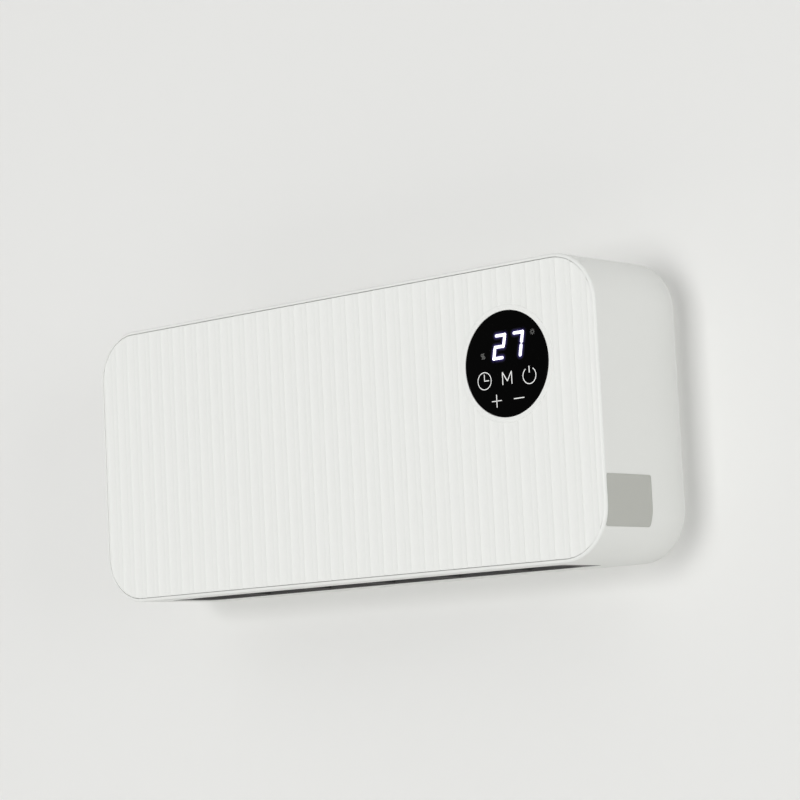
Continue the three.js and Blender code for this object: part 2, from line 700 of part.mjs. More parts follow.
function displayBoard() {
  const radius = DISC_RADIUS - WINDOW_LEDGE - GAP;
  return piece('display_board', rod('y', [displayX, DISPLAY_Z], radius, displayBoardFront,
    displayBoardBack, 2 * ROUND_SIDES), circuitGreen);
}

function digitBlock() {
  const z = DISPLAY_Z + DIGITS_RISE;
  return piece('digit_block', block(
    [displayX - DIGITS_WIDTH / 2, displayX + DIGITS_WIDTH / 2],
    [lensBack + GAP, displayBoardFront], [z - DIGITS_HEIGHT / 2, z + DIGITS_HEIGHT / 2]),
  naturalPlastic);
}

function infraredReceiver() {
  const [dx, dz] = RECEIVER_PLACE;
  const half = RECEIVER_SIZE / 2;
  return piece('infrared_receiver', block([displayX + dx - half, displayX + dx + half],
    [lensBack + GAP, displayBoardFront], [DISPLAY_Z + dz - half, DISPLAY_Z + dz + half]),
  glossBlack);
}

function touchSprings() {
  return TOUCH_KEYS.map(([dx, dz], i) => piece(`touch_spring_${i + 1}`,
    rod('y', [displayX + dx, DISPLAY_Z + dz], TOUCH_SPRING_RADIUS, lensBack + GAP,
      displayBoardFront, SMALL_SIDES), steel));
}

function displayScrews() {
  return displayScrewPlaces().map(([x, z], i) => piece(`display_screw_${i + 1}`,
    screwSolid('y', earBack + GAP, -1, DISPLAY_SCREW_LENGTH), steel, [x, 0, z]));
}

// ---------------------------------------------------------------- air duct

function scrollPoint(angle) {
  const grown = (SCROLL_START - angle) / (SCROLL_START - SCROLL_END);
  const radius = scrollRadius + SCROLL_GROWTH * grown;
  return [rotorY + radius * Math.cos(angle), rotorZ + radius * Math.sin(angle)];
}

function rearScroll() {
  const curve = [];
  for (let i = 0; i <= SCROLL_STEPS; i += 1) {
    curve.push(scrollPoint(SCROLL_START + (SCROLL_END - SCROLL_START) * i / SCROLL_STEPS));
  }
  const heaterTop = ductBottom + HOLDER_HEIGHT + GAP;
  const outline = sheetOutline([[inletRearLine, ductTop],
    ...curve, [ductRearLine, heaterTop], [ductRearLine, ductBottom]], DUCT_WALL);
  return piece('rear_scroll', slabX(outline, -ductHalf, ductHalf), naturalPlastic);
}

function frontScroll() {
  const tongueTop = rotorZ;
  const tongueFoot = rotorZ - rotorRadius;
  const heaterTop = ductBottom + HOLDER_HEIGHT + GAP;
  const sheet = slabX(sheetOutline([[inletFrontLine, ductTop], [inletFrontLine, tongueFoot],
    [ductFrontLine, heaterTop], [ductFrontLine, ductBottom]], DUCT_WALL),
  -ductHalf, ductHalf);
  const reach = rotorRadius + ROTOR_GAP + GAP;
  const tip = [rotorY + reach * Math.cos(TONGUE_ANGLE), rotorZ + reach * Math.sin(TONGUE_ANGLE)];
  const tongue = slabX(polygon([[inletFrontLine, tongueFoot], tip,
    [inletFrontLine, tongueTop - rotorRadius / 4]]), -ductHalf, ductHalf);
  return piece('front_scroll', sheet.add(tongue), naturalPlastic);
}

// Outline of an end plate in Y and Z, notched to pass behind the display.
function endPlateOutline() {
  const rear = coverInside - GAP;
  const front = frontWallBack + GAP;
  const notch = carrierBack + GAP;
  const notchTop = DISPLAY_Z + DISC_RADIUS + DISPLAY_NOTCH;
  const notchFoot = DISPLAY_Z - DISC_RADIUS - DISPLAY_NOTCH;
  return polygon([[rear, ductBottom], [rear, ductTop], [front, ductTop], [front, notchTop],
    [notch, notchTop], [notch, notchFoot], [front, notchFoot], [front, ductBottom]]);
}

function motorScrewPlaces() {
  const reach = MOTOR_RADIUS + screwBossRadius + MOTOR_STRAP_CLEARANCE;
  return [[rotorY, rotorZ + reach], [rotorY, rotorZ - reach]];
}

const leadPassage = [coverInside - 2 * LEAD_RADIUS, rotorZ + LEAD_RISE];

function leftEndPlate() {
  const plate = slabX(endPlateOutline(), -plateOuter, -plateInner);
  const bosses = motorScrewPlaces().map((place) => rod('x', place, screwBossRadius,
    -plateOuter - MOTOR_BOSS_HEIGHT, -plateInner - END_PLATE / 2, SMALL_SIDES));
  const cuts = motorScrewPlaces().map((place) => rod('x', place, SCREW_BORE,
    -plateOuter - MOTOR_BOSS_HEIGHT - GAP, -plateInner + GAP, SMALL_SIDES));
  cuts.push(rod('x', [rotorY, rotorZ], HUB_RADIUS + HUB_CLEARANCE, -plateOuter - GAP,
    -plateInner + GAP));
  cuts.push(rod('x', leadPassage, LEAD_RADIUS + 4 * GAP, -plateOuter - GAP,
    -plateInner + GAP, SMALL_SIDES));
  for (const place of heaterLeadStarts()) {
    cuts.push(rod('x', place, LEAD_RADIUS + 4 * GAP, -plateOuter - GAP, -plateInner + GAP,
      SMALL_SIDES));
  }
  return piece('left_end_plate', cutBy(united([plate, ...bosses]), cuts), naturalPlastic);
}

const rubberRadius = BEARING_RADIUS + GAP + BEARING_RUBBER;

function rightEndPlate() {
  const plate = slabX(endPlateOutline(), plateInner, plateOuter);
  const collar = rod('x', [rotorY, rotorZ], rubberRadius + GAP + DUCT_WALL,
    plateInner + END_PLATE / 2, plateInner + BEARING_LENGTH + GAP);
  const cuts = [
    rod('x', [rotorY, rotorZ], rubberRadius + GAP, plateInner - GAP,
      plateInner + BEARING_LENGTH + 2 * GAP),
    rod('x', leadPassage, LEAD_RADIUS + 4 * GAP, plateInner - GAP, plateOuter + GAP,
      SMALL_SIDES),
  ];
  return piece('right_end_plate', cutBy(plate.add(collar), cuts), naturalPlastic);
}

// ---------------------------------------------------------------- fan

function bladeSolid(angle) {
  const inner = rotorRadius - BLADE_DEPTH;
  const middle = rotorRadius - BLADE_DEPTH / 2;
  const line = [[inner, 0], [middle, BLADE_MIDDLE_LEAN], [rotorRadius - GAP, BLADE_LEAN]];
  const points = line.map(([radius, lean]) => [
    rotorY + radius * Math.cos(angle + lean), rotorZ + radius * Math.sin(angle + lean)]);
  return slabX(sheetOutline(points, BLADE_THICKNESS), -rotorHalf, rotorHalf);
}

function fanRotor() {
  const centre = [rotorY, rotorZ];
  const solids = [];
  for (let i = 0; i < BLADE_COUNT; i += 1) {
    solids.push(bladeSolid((2 * Math.PI * i) / BLADE_COUNT));
  }
  const spacing = (2 * rotorHalf - ROTOR_DISC) / (DISC_COUNT - 1);
  for (let i = 0; i < DISC_COUNT; i += 1) {
    const from = -rotorHalf + i * spacing;
    solids.push(rod('x', centre, rotorRadius, from, from + ROTOR_DISC));
  }
  const hubs = [rod('x', centre, HUB_RADIUS, -rotorHalf, -rotorHalf + HUB_LENGTH, SMALL_SIDES),
    rod('x', centre, HUB_RADIUS, rotorHalf - HUB_LENGTH, rotorHalf, SMALL_SIDES)];
  const bores = [
    rod('x', centre, SHAFT_RADIUS + GAP, -rotorHalf - GAP, -rotorHalf + HUB_LENGTH - HUB_FLOOR,
      SMALL_SIDES),
    rod('x', centre, SHAFT_RADIUS + GAP, rotorHalf - HUB_LENGTH + HUB_FLOOR, rotorHalf + GAP,
      SMALL_SIDES)];
  return piece('fan_rotor', cutBy(united([...solids, ...hubs]), bores), darkPlastic);
}

const motorFront = -plateOuter - GAP;
const motorBack = motorFront - MOTOR_LENGTH;

function fanMotor() {
  const flat = MOTOR_RADIUS - MOTOR_EDGE;
  const nose = motorBack - MOTOR_NOSE;
  const can = turned('x', [rotorY, rotorZ], [[0, nose], [HUB_RADIUS, nose],
    [HUB_RADIUS, motorBack], [flat, motorBack], [MOTOR_RADIUS, motorBack + MOTOR_EDGE],
    [MOTOR_RADIUS, motorFront - MOTOR_EDGE], [flat, motorFront],
    [SHAFT_RADIUS + GAP, motorFront], [SHAFT_RADIUS + GAP, motorFront - MOTOR_SHAFT_DEPTH],
    [0, motorFront - MOTOR_SHAFT_DEPTH]]);
  const seat = -plateOuter - MOTOR_BOSS_HEIGHT - GAP;
  const reach = motorScrewPlaces()[0][1] - rotorZ + screwBossRadius;
  const strap = block([seat - DUCT_WALL, seat],
    [rotorY - screwBossRadius, rotorY + screwBossRadius], [rotorZ - reach, rotorZ + reach]);
  const axle = rod('x', [rotorY, rotorZ], flat, seat - 2 * DUCT_WALL,
    motorFront + GAP);
  const holes = motorScrewPlaces().map((place) => rod('x', place, SCREW_BORE,
    seat - DUCT_WALL - GAP, seat + GAP, SMALL_SIDES));
  return piece('fan_motor', cutBy(can.add(strap.subtract(axle)), holes), steel);
}

function motorShaft() {
  return piece('motor_shaft', rod('x', [rotorY, rotorZ], SHAFT_RADIUS,
    motorFront - MOTOR_SHAFT_DEPTH + GAP, -rotorHalf + HUB_LENGTH - HUB_FLOOR - GAP, SMALL_SIDES), steel);
}

function motorScrews() {
  const seat = -plateOuter - MOTOR_BOSS_HEIGHT - DUCT_WALL - 2 * GAP;
  return motorScrewPlaces().map(([y, z], i) => piece(`motor_screw_${i + 1}`,
    screwSolid('x', seat, 1), steel, [0, y, z]));
}

function rotorPin() {
  return piece('rotor_pin', rod('x', [rotorY, rotorZ], SHAFT_RADIUS,
    rotorHalf - HUB_LENGTH + HUB_FLOOR + GAP, plateInner + BEARING_LENGTH, SMALL_SIDES), steel);
}

function endBearing() {
  return piece('end_bearing', ring('x', [rotorY, rotorZ], SHAFT_RADIUS + GAP, BEARING_RADIUS,
    plateInner + GAP, plateInner + BEARING_LENGTH), bronze);
}

function bearingRubber() {
  return piece('bearing_rubber', ring('x', [rotorY, rotorZ], BEARING_RADIUS + GAP, rubberRadius,
    plateInner + GAP, plateInner + BEARING_LENGTH), rubber);
}

// ---------------------------------------------------------------- heating bank

const heaterFront = ductFrontLine + DUCT_WALL / 2 + GAP;
const heaterRear = ductRearLine - DUCT_WALL / 2 - GAP;
const finDepth = (heaterRear - heaterFront - 2 * OUTER_BAR - MIDDLE_BAR - 4 * GAP) / 2;
const heaterFloor = ductBottom + (HOLDER_HEIGHT - HEATER_HEIGHT) / 2;

function heaterBars() {
  const spans = [
    ['heater_bar_front', heaterFront, OUTER_BAR],
    ['heater_bar_middle', heaterFront + OUTER_BAR + finDepth + 2 * GAP, MIDDLE_BAR],
    ['heater_bar_rear', heaterRear - OUTER_BAR, OUTER_BAR],
  ];
  return spans.map(([name, from, thickness]) => piece(name, block(
    [-heaterHalf, heaterHalf], [from, from + thickness],
    [heaterFloor, heaterFloor + HEATER_HEIGHT]), aluminium));
}

function finRow(name, from) {
  const low = from + FIN_SHEET / 2;
  const high = from + finDepth - FIN_SHEET / 2;
  const count = Math.floor((2 * (heaterHalf - FIN_END_GAP)) / FIN_PITCH);
  const start = (FIN_PITCH / 2 - FIN_CREST - count * FIN_PITCH) / 2;
  const points = [];
  for (let i = 0; i < count; i += 1) {
    const x = start + i * FIN_PITCH;
    points.push([x, low], [x + FIN_CREST, low], [x + FIN_PITCH / 2, high],
      [x + FIN_PITCH / 2 + FIN_CREST, high]);
  }
  return piece(name, slabZ(sheetOutline(points, FIN_SHEET), heaterFloor + GAP,
    heaterFloor + HEATER_HEIGHT - GAP), aluminium);
}

function finRows() {
  const first = heaterFront + OUTER_BAR + GAP;
  return [finRow('heater_fins_front', first),
    finRow('heater_fins_rear', first + finDepth + MIDDLE_BAR + 2 * GAP)];
}

function heaterHolder(name, side) {
  const from = heaterHalf + GAP;
  const to = ductHalf;
  const span = side < 0 ? [-to, -from] : [from, to];
  return piece(name, block(span, [heaterFront, heaterRear],
    [ductBottom, ductBottom + HOLDER_HEIGHT]), heatPlastic);
}

function thermostat() {
  const floor = ductBottom + HOLDER_HEIGHT + GAP;
  const top = floor + THERMOSTAT_HEIGHT;
  const x = (heaterHalf + GAP + ductHalf) / 2;
  return piece('thermostat', turned('z', [x, outletCentreY], [[0, floor],
    [THERMOSTAT_RADIUS, floor], [THERMOSTAT_RADIUS, top - THERMOSTAT_EDGE],
    [THERMOSTAT_RADIUS - THERMOSTAT_EDGE, top], [0, top]], SMALL_SIDES), steel);
}

function thermalFuse() {
  const z = ductBottom + HOLDER_HEIGHT + GAP + FUSE_RADIUS;
  const x = -(heaterHalf + GAP + ductHalf) / 2;
  return piece('thermal_fuse', rod('y', [x, z], FUSE_RADIUS, outletCentreY - FUSE_HALF_LENGTH,
    outletCentreY + FUSE_HALF_LENGTH, SMALL_SIDES), steel);
}

// ---------------------------------------------------------------- outlet

function outletFrame() {
  const outline = (growth) => outletOutline(growth - GAP);
  const sleeve = slabZ(outline(0), frameMouth, frameTop);
  const flange = slabZ(outline(FRAME_FLANGE), frameFlangeTop - DUCT_WALL, frameFlangeTop);
  const bore = slabZ(outline(-DUCT_WALL), frameMouth - GAP, frameTop + GAP);
  const tube = sleeve.add(flange).subtract(bore);
  const depth = [outletCentreY - frameHalfDepth + DUCT_WALL / 2,
    outletCentreY + frameHalfDepth - DUCT_WALL / 2];
  const reach = frameHalfLength - frameEndRadius / 2;
  const perSide = Math.floor(reach / GUARD_PITCH);
  const guards = [];
  for (let i = -perSide; i <= perSide; i += 1) {
    const x = i * GUARD_PITCH;
    guards.push(block([x - GUARD_THICKNESS / 2, x + GUARD_THICKNESS / 2], depth,
      [frameMouth, frameMouth + GUARD_HEIGHT]));
  }
  const bores = rod('x', [outletCentreY, louverZ], LOUVER_PIN_RADIUS + GAP,
    -frameHalfLength - FRAME_FLANGE, frameHalfLength + FRAME_FLANGE, SMALL_SIDES);
  return piece('outlet_frame', united([tube, ...guards]).subtract(bores), darkPlastic);
}

// A shallow curved vane that hangs upright at rest and swings about the pins at its ends.
function outletLouver() {
  const points = [-1, -0.5, 0, 0.5, 1].map((t) => [outletCentreY - LOUVER_BOW * t * t,
    louverZ + t * LOUVER_HALF_CHORD]);
  const vaneHalf = louverHalf - frameEndRadius / 2;
  const vane = slabX(sheetOutline(points, LOUVER_THICKNESS), -vaneHalf, vaneHalf);
  const axle = rod('x', [outletCentreY, louverZ], LOUVER_PIN_RADIUS,
    -frameHalfLength + DUCT_WALL / 2, frameHalfLength - GAP, SMALL_SIDES);
  return piece('outlet_louver', vane.add(axle), darkPlastic);
}

function louverMotor() {
  const front = -frameHalfLength - GAP;
  const bottom = front - LOUVER_SHAFT_REACH;
  const centre = [outletCentreY, louverZ];
  const can = turned('x', centre, [[0, front - LOUVER_MOTOR_LENGTH],
    [LOUVER_MOTOR_RADIUS, front - LOUVER_MOTOR_LENGTH], [LOUVER_MOTOR_RADIUS, front],
    [LOUVER_PIN_RADIUS + GAP, front], [LOUVER_PIN_RADIUS + GAP, bottom], [0, bottom]]);
  const lower = block([front - LOUVER_MOTOR_LENGTH, front + GAP],
    [outletCentreY - HEIGHT, outletCentreY + HEIGHT], [-HEIGHT, frameFlangeTop + GAP]);
  return piece('louver_motor', can.subtract(lower), steel);
}

function louverShaft() {
  return piece('louver_shaft', rod('x', [outletCentreY, louverZ], LOUVER_PIN_RADIUS,
    -frameHalfLength - LOUVER_SHAFT_REACH, -frameHalfLength + DUCT_WALL / 2 - GAP,
    SMALL_SIDES), steel);
}

// ---------------------------------------------------------------- intake

function intakeGrille() {
  const plateFloor = halfHeight - CASING_WALL;
  const inner = intakeOutline(-DUCT_WALL);
  const ledge = intakeOutline(-DUCT_WALL - FILTER_LEDGE);
  const whole = slabZ(intakeOutline(0), intakeFloor, halfHeight, SMALL_STEPS);
  const pocket = slabZ(inner, intakeFloor + FILTER_LEDGE, plateFloor, SMALL_STEPS);
  const mouth = slabZ(ledge, intakeFloor - GAP, plateFloor, SMALL_STEPS);
  const cuts = [pocket, mouth];
  const halfSlot = intakeHalfDepth - INTAKE_BAR;
  const reach = intakeLength / 2 - INTAKE_BAR;
  const perSide = Math.floor((reach - INTAKE_SLOT / 2) / INTAKE_SLOT_PITCH);
  for (let i = -perSide; i <= perSide; i += 1) {
    const x = i * INTAKE_SLOT_PITCH;
    cuts.push(block([x - INTAKE_SLOT / 2, x + INTAKE_SLOT / 2],
      [intakeCentreY - halfSlot, intakeCentreY + halfSlot], [plateFloor - GAP, halfHeight + GAP]));
  }
  return piece('intake_grille', cutBy(whole, cuts), whiteShell);
}

function dustFilter() {
  const floor = intakeFloor + FILTER_LEDGE + GAP;
  return piece('dust_filter', slabZ(intakeOutline(-DUCT_WALL - GAP), floor,
    floor + FILTER_THICKNESS, SMALL_STEPS), filterNet);
}

// ---------------------------------------------------------------- electronics

function mainBoard() {
  return piece('main_board', block([boardInner, boardFace], [boardFront, boardRear],
    [-MAIN_BOARD_HALF_HEIGHT, MAIN_BOARD_HALF_HEIGHT]), circuitGreen);
}

// A component that stands on the board's outer face.
function boardBlock(name, [dy, z], height, halfDepth, halfRise, material) {
  const from = boardFace + GAP;
  const y = (boardFront + boardRear) / 2 + dy;
  return piece(name, block([from, from + height], [y - halfDepth, y + halfDepth],
    [z - halfRise, z + halfRise]), material);
}

function capacitor() {
  const [dy, drop] = CAPACITOR_PLACE;
  const y = (boardFront + boardRear) / 2 + dy;
  const z = MAIN_BOARD_HALF_HEIGHT - drop;
  const foot = boardFace + GAP;
  const top = foot + CAPACITOR_LENGTH;
  return piece('capacitor', turned('x', [y, z], [[0, foot], [CAPACITOR_RADIUS, foot],
    [CAPACITOR_RADIUS, top - CAPACITOR_EDGE], [CAPACITOR_RADIUS - CAPACITOR_EDGE, top],
    [0, top]]), darkPlastic);
}

function boardComponents() {
  const [transformerY, transformerRise] = TRANSFORMER_PLACE;
  return [
    ...RELAY_PLACES.map(([dy, drop], i) => boardBlock(`relay_${i + 1}`,
      [dy, MAIN_BOARD_HALF_HEIGHT - drop], RELAY_HEIGHT, RELAY_HALF_DEPTH, RELAY_HALF_HEIGHT,
      relayBlue)),
    boardBlock('transformer', [transformerY, transformerRise - MAIN_BOARD_HALF_HEIGHT],
      TRANSFORMER_HEIGHT, TRANSFORMER_HALF_DEPTH, TRANSFORMER_HALF_HEIGHT, coilYellow),
    capacitor(),
  ];
}

function terminalBlock() {
  return piece('terminal_block', block(terminalSpan, [boardRear - TERMINAL_DEPTH, boardRear],
    [GLAND_Z - TERMINAL_HALF_HEIGHT, GLAND_Z + TERMINAL_HALF_HEIGHT]), heatPlastic);
}

// The label's patch of the casing's right side, which it follows round the lower corner.
function labelSkin(growth, depth) {
  const y = frontFace + LABEL_SETBACK + LABEL_LENGTH / 2;
  const z = LABEL_RISE - halfHeight;
  const patch = slabX(roundedRectangle(LABEL_LENGTH / 2 + growth, LABEL_HEIGHT / 2 + growth,
    LABEL_CORNER + growth, y, z), halfWidth - CORNER_RADIUS, halfWidth + GAP, SMALL_STEPS);
  const outside = slabY(roundedRectangle(halfWidth, halfHeight, CORNER_RADIUS), casingBack,
    frontFace);
  const core = slabY(roundedRectangle(halfWidth - depth, halfHeight - depth,
    CORNER_RADIUS - depth), casingBack + GAP, frontFace - GAP);
  return patch.intersect(outside.subtract(core));
}

function ratingLabel() {
  return piece('rating_label', labelSkin(0, LABEL_THICKNESS), labelGrey);
}

// ---------------------------------------------------------------- internal leads

function leadTube(name, points, steps) {
  const path = new THREE.CatmullRomCurve3(points.map((p) => new THREE.Vector3(...p)), false,
    'centripetal');
  const section = new THREE.Shape();
  for (let i = 0; i < LEAD_SIDES; i += 1) {
    const angle = (2 * Math.PI * i) / LEAD_SIDES;
    const x = LEAD_RADIUS * Math.cos(angle);
    const y = LEAD_RADIUS * Math.sin(angle);
    if (i === 0) section.moveTo(x, y);
    else section.lineTo(x, y);
  }
  const geometry = new THREE.ExtrudeGeometry(section, { steps, extrudePath: path });
  return piece(name, solidOf(geometry), leadSleeve);
}

function heaterLeadStarts() {
  const z = ductBottom + HOLDER_HEIGHT / 2;
  return [[outletCentreY - HEATER_LEAD_SPREAD, z], [outletCentreY + HEATER_LEAD_SPREAD, z]];
}

function heaterLeads() {
  const start = -ductHalf - GAP;
  const end = boardRear - TERMINAL_DEPTH - GAP;
  return heaterLeadStarts().map(([y, z], i) => {
    const x = terminalX + (i === 0 ? -TERMINAL_SPREAD : TERMINAL_SPREAD);
    return leadTube(`heater_lead_${i + 1}`, [[start, y, z], [start - LEAD_STUB, y, z],
      [start - 2 * LEAD_STUB, y + LEAD_RADIUS, z], [x, end - 2 * LEAD_STUB, GLAND_Z],
      [x, end - LEAD_STUB, GLAND_Z], [x, end, GLAND_Z]], HEATER_LEAD_STEPS);
  });
}

function motorLead() {
  const [y, z] = leadPassage;
  const [exitY, exitZ] = MOTOR_LEAD_PLACE;
  const [bendY, bendZ] = MOTOR_LEAD_BEND;
  const start = motorBack - GAP;
  const end = boardInner - GAP;
  return leadTube('motor_lead', [[start, rotorY + exitY, rotorZ + exitZ],
    [start - LEAD_STUB, rotorY + exitY, rotorZ + exitZ],
    [start - LEAD_STUB - LEAD_RADIUS, rotorY + bendY, rotorZ + bendZ],
    [start + LEAD_STUB, y, z], [start + 2 * LEAD_STUB, y, z], [-ductHalf / 2, y, z],
    [0, y, z], [ductHalf / 2, y, z], [end - LEAD_STUB, y, z], [end, y, z]], MOTOR_LEAD_STEPS);
}

// ---------------------------------------------------------------- switch and gland

const bezelBack = -halfWidth + SWITCH_RECESS - GAP;

function switchHousing() {
  const bezel = block([bezelBack - SWITCH_BEZEL, bezelBack],
    [SWITCH_Y - SWITCH_HALF_WIDTH - SWITCH_BEZEL, SWITCH_Y + SWITCH_HALF_WIDTH + SWITCH_BEZEL],
    [SWITCH_Z - SWITCH_HALF_HEIGHT - SWITCH_BEZEL, SWITCH_Z + SWITCH_HALF_HEIGHT + SWITCH_BEZEL]);
  const body = block([bezelBack - SWITCH_BEZEL, bezelBack + SWITCH_DEPTH],
    [SWITCH_Y - SWITCH_HALF_WIDTH, SWITCH_Y + SWITCH_HALF_WIDTH],
    [SWITCH_Z - SWITCH_HALF_HEIGHT, SWITCH_Z + SWITCH_HALF_HEIGHT]);
  const well = block([bezelBack - SWITCH_BEZEL - GAP, bezelBack + SWITCH_DEPTH - SWITCH_FLOOR],
    [SWITCH_Y - SWITCH_HALF_WIDTH + SWITCH_BEZEL, SWITCH_Y + SWITCH_HALF_WIDTH - SWITCH_BEZEL],
    [SWITCH_Z - SWITCH_HALF_HEIGHT + SWITCH_BEZEL, SWITCH_Z + SWITCH_HALF_HEIGHT - SWITCH_BEZEL]);
  return piece('switch_housing', bezel.add(body).subtract(well), darkPlastic);
}

// The rocker tips about a pin along Y. It rests with its upper half pressed in, and its
// length leaves its corners room to swing inside the housing.
function switchRocker() {
  const halfY = SWITCH_HALF_WIDTH - SWITCH_BEZEL - GAP;
  const wellHalf = SWITCH_HALF_HEIGHT - SWITCH_BEZEL - GAP;
  const swing = 2 * ROCKER_TILT;
  const halfZ = (wellHalf - ROCKER_PROUD * Math.sin(swing)) / Math.cos(swing);
  const pivotX = bezelBack + ROCKER_PIVOT_DEPTH;
  const face = pivotX - ROCKER_PROUD;
  const slope = Math.tan(ROCKER_TILT) * halfZ;
  const shape = polygon([[pivotX + ROCKER_PIVOT_DEPTH, -halfZ / 2],
    [pivotX + ROCKER_PIVOT_DEPTH, halfZ / 2], [face + 2 * slope, halfZ], [face, -halfZ],
  ].map(([x, z]) => [x, z + SWITCH_Z]));
  return piece('switch_rocker', slabY(shape, SWITCH_Y + halfY, SWITCH_Y - halfY), darkPlastic);
}

function cordGland() {
  const outer = -halfWidth;
  const radius = GLAND_BORE + GLAND_WALL;
  const seat = -innerHalfWidth + GAP;
  const flange = radius + GLAND_FLANGE;
  const inner = outer + GLAND_LENGTH;
  const profile = [[GLAND_BORE, outer], [radius, outer], [radius, seat], [flange, seat],
    [flange, seat + GLAND_FLANGE], [radius, seat + GLAND_FLANGE],
    [radius - GLAND_TAPER, inner], [GLAND_BORE, inner], [GLAND_BORE, outer]];
  return piece('cord_gland', turned('x', [GLAND_Y, GLAND_Z], profile, SMALL_SIDES), rubber);
}

// ---------------------------------------------------------------- assembly

function assembly(...pieces) {
  const group = new THREE.Group();
  group.add(...pieces);
  return group;
}

const heater = assembly(
  assembly(outerCasing(), frontPanel(), rearCover(), ratingLabel(), ...coverScrews()),
  assembly(displayLens(), displayCarrier(), displayBoard(), digitBlock(), infraredReceiver(),
    ...touchSprings(), ...displayScrews()),
  assembly(rearScroll(), frontScroll(), leftEndPlate(), rightEndPlate()),
  assembly(fanRotor(), fanMotor(), motorShaft(), ...motorScrews(), rotorPin(), endBearing(),
    bearingRubber()),
  assembly(...heaterBars(), ...finRows(), heaterHolder('left_heater_holder', -1),
    heaterHolder('right_heater_holder', 1), thermostat(), thermalFuse()),
  assembly(outletFrame(), outletLouver(), louverMotor(), louverShaft()),
  assembly(intakeGrille(), dustFilter()),
  assembly(mainBoard(), ...boardComponents(), terminalBlock(), motorLead(), ...heaterLeads()),
  assembly(switchHousing(), switchRocker(), cordGland()),
);

export default heater;
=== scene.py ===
"""Bathroom wall fan heater: fine shapes, finishes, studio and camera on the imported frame.

Sizes are in millimetres and become metres in the meshes. +X is to the right seen from the
front, the wall is the plane Y = 0 and +Z is up, as in the frame.
"""

import logging
import math
from dataclasses import dataclass
from enum import Enum

import bmesh
import bpy
from mathutils import Matrix, Vector


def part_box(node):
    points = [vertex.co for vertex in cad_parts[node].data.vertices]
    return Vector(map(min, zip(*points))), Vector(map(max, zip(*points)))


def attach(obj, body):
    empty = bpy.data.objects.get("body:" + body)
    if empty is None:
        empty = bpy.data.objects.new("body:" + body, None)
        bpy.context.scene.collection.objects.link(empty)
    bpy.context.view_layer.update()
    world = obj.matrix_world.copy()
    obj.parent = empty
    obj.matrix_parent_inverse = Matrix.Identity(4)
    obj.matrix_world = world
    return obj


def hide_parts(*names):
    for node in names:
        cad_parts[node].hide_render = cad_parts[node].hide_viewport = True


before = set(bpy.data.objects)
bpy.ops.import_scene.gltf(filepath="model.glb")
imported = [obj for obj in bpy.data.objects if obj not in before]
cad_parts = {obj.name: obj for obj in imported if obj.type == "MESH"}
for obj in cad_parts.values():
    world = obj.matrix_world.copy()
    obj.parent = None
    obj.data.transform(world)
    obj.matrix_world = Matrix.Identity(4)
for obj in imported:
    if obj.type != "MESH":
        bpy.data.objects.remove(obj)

LOG = logging.getLogger("wall_heater")
MM = 0.001
Point = tuple[float, float, float]
Flat = tuple[float, float]
Piece = bpy.types.Object
Material = bpy.types.Material
Tree = bpy.types.NodeTree
Node = bpy.types.Node
MATH = "ShaderNodeMath"
VECTOR_MATH = "ShaderNodeVectorMath"


# ------------------------------------------------------------------ nodes

def linear(hex_colour: str) -> tuple[float, float, float, float]:
    """Turn an sRGB hex value into linear colour.

    Args:
        hex_colour: Six hex digits.

    Returns:
        Red, green, blue and alpha.
    """
    parts = [int(hex_colour[i:i + 2], 16) / 255 for i in (0, 2, 4)]
    red, green, blue = (p / 12.92 if p <= 0.04045 else ((p + 0.055) / 1.055) ** 2.4 for p in parts)
    return (red, green, blue, 1.0)


def add_node(tree: Tree, kind: str, settings: dict | str | None = None,
             inputs: dict | None = None) -> Node:
    """Add a node, set it and fill or link its inputs.

    Args:
        tree: The tree that takes the node.
        kind: The node's type name.
        settings: Values of the node's own properties, or a math node's operation alone.
        inputs: Values, output sockets, or nodes whose first output is meant, by input name
            or number.

    Returns:
        The new node.
    """
    node = tree.nodes.new(kind)
    if isinstance(settings, str):
        settings = {"operation": settings}
    for name, value in (settings or {}).items():
        setattr(node, name, value)
    for key, value in (inputs or {}).items():
        if isinstance(value, Node):
            value = value.outputs[0]
        if isinstance(value, bpy.types.NodeSocket):
            tree.links.new(value, node.inputs[key])
        else:
            node.inputs[key].default_value = value
    return node


def geometry_tree(name: str, inputs: dict[str, str]) -> tuple[Tree, Node]:
    """Start a Geometry Nodes tree with named inputs.

    Args:
        name: The tree's name.
        inputs: Socket type by input name.

    Returns:
        The tree and its input node.
    """
    tree = bpy.data.node_groups.new(name, "GeometryNodeTree")
    tree.interface.new_socket("Geometry", in_out="INPUT", socket_type="NodeSocketGeometry")
    for label, kind in inputs.items():
        tree.interface.new_socket(label, in_out="INPUT", socket_type=kind)
    tree.interface.new_socket("Material", in_out="INPUT", socket_type="NodeSocketMaterial")
    tree.interface.new_socket("Geometry", in_out="OUTPUT", socket_type="NodeSocketGeometry")
    return tree, tree.nodes.new("NodeGroupInput")


def close_tree(tree: Tree, entry: Node, shape: Node) -> None:
    """End a tree in Realize Instances and Set Material.

    Args:
        tree: The tree.
        entry: Its input node.
        shape: The node whose first output carries the finished shape.
    """
    real = add_node(tree, "GeometryNodeRealizeInstances", inputs={"Geometry": shape})
    dressed = add_node(tree, "GeometryNodeSetMaterial",
                       inputs={"Geometry": real, "Material": entry.outputs["Material"]})
    add_node(tree, "NodeGroupOutput", inputs={0: dressed})


# ------------------------------------------------------------------ meshes

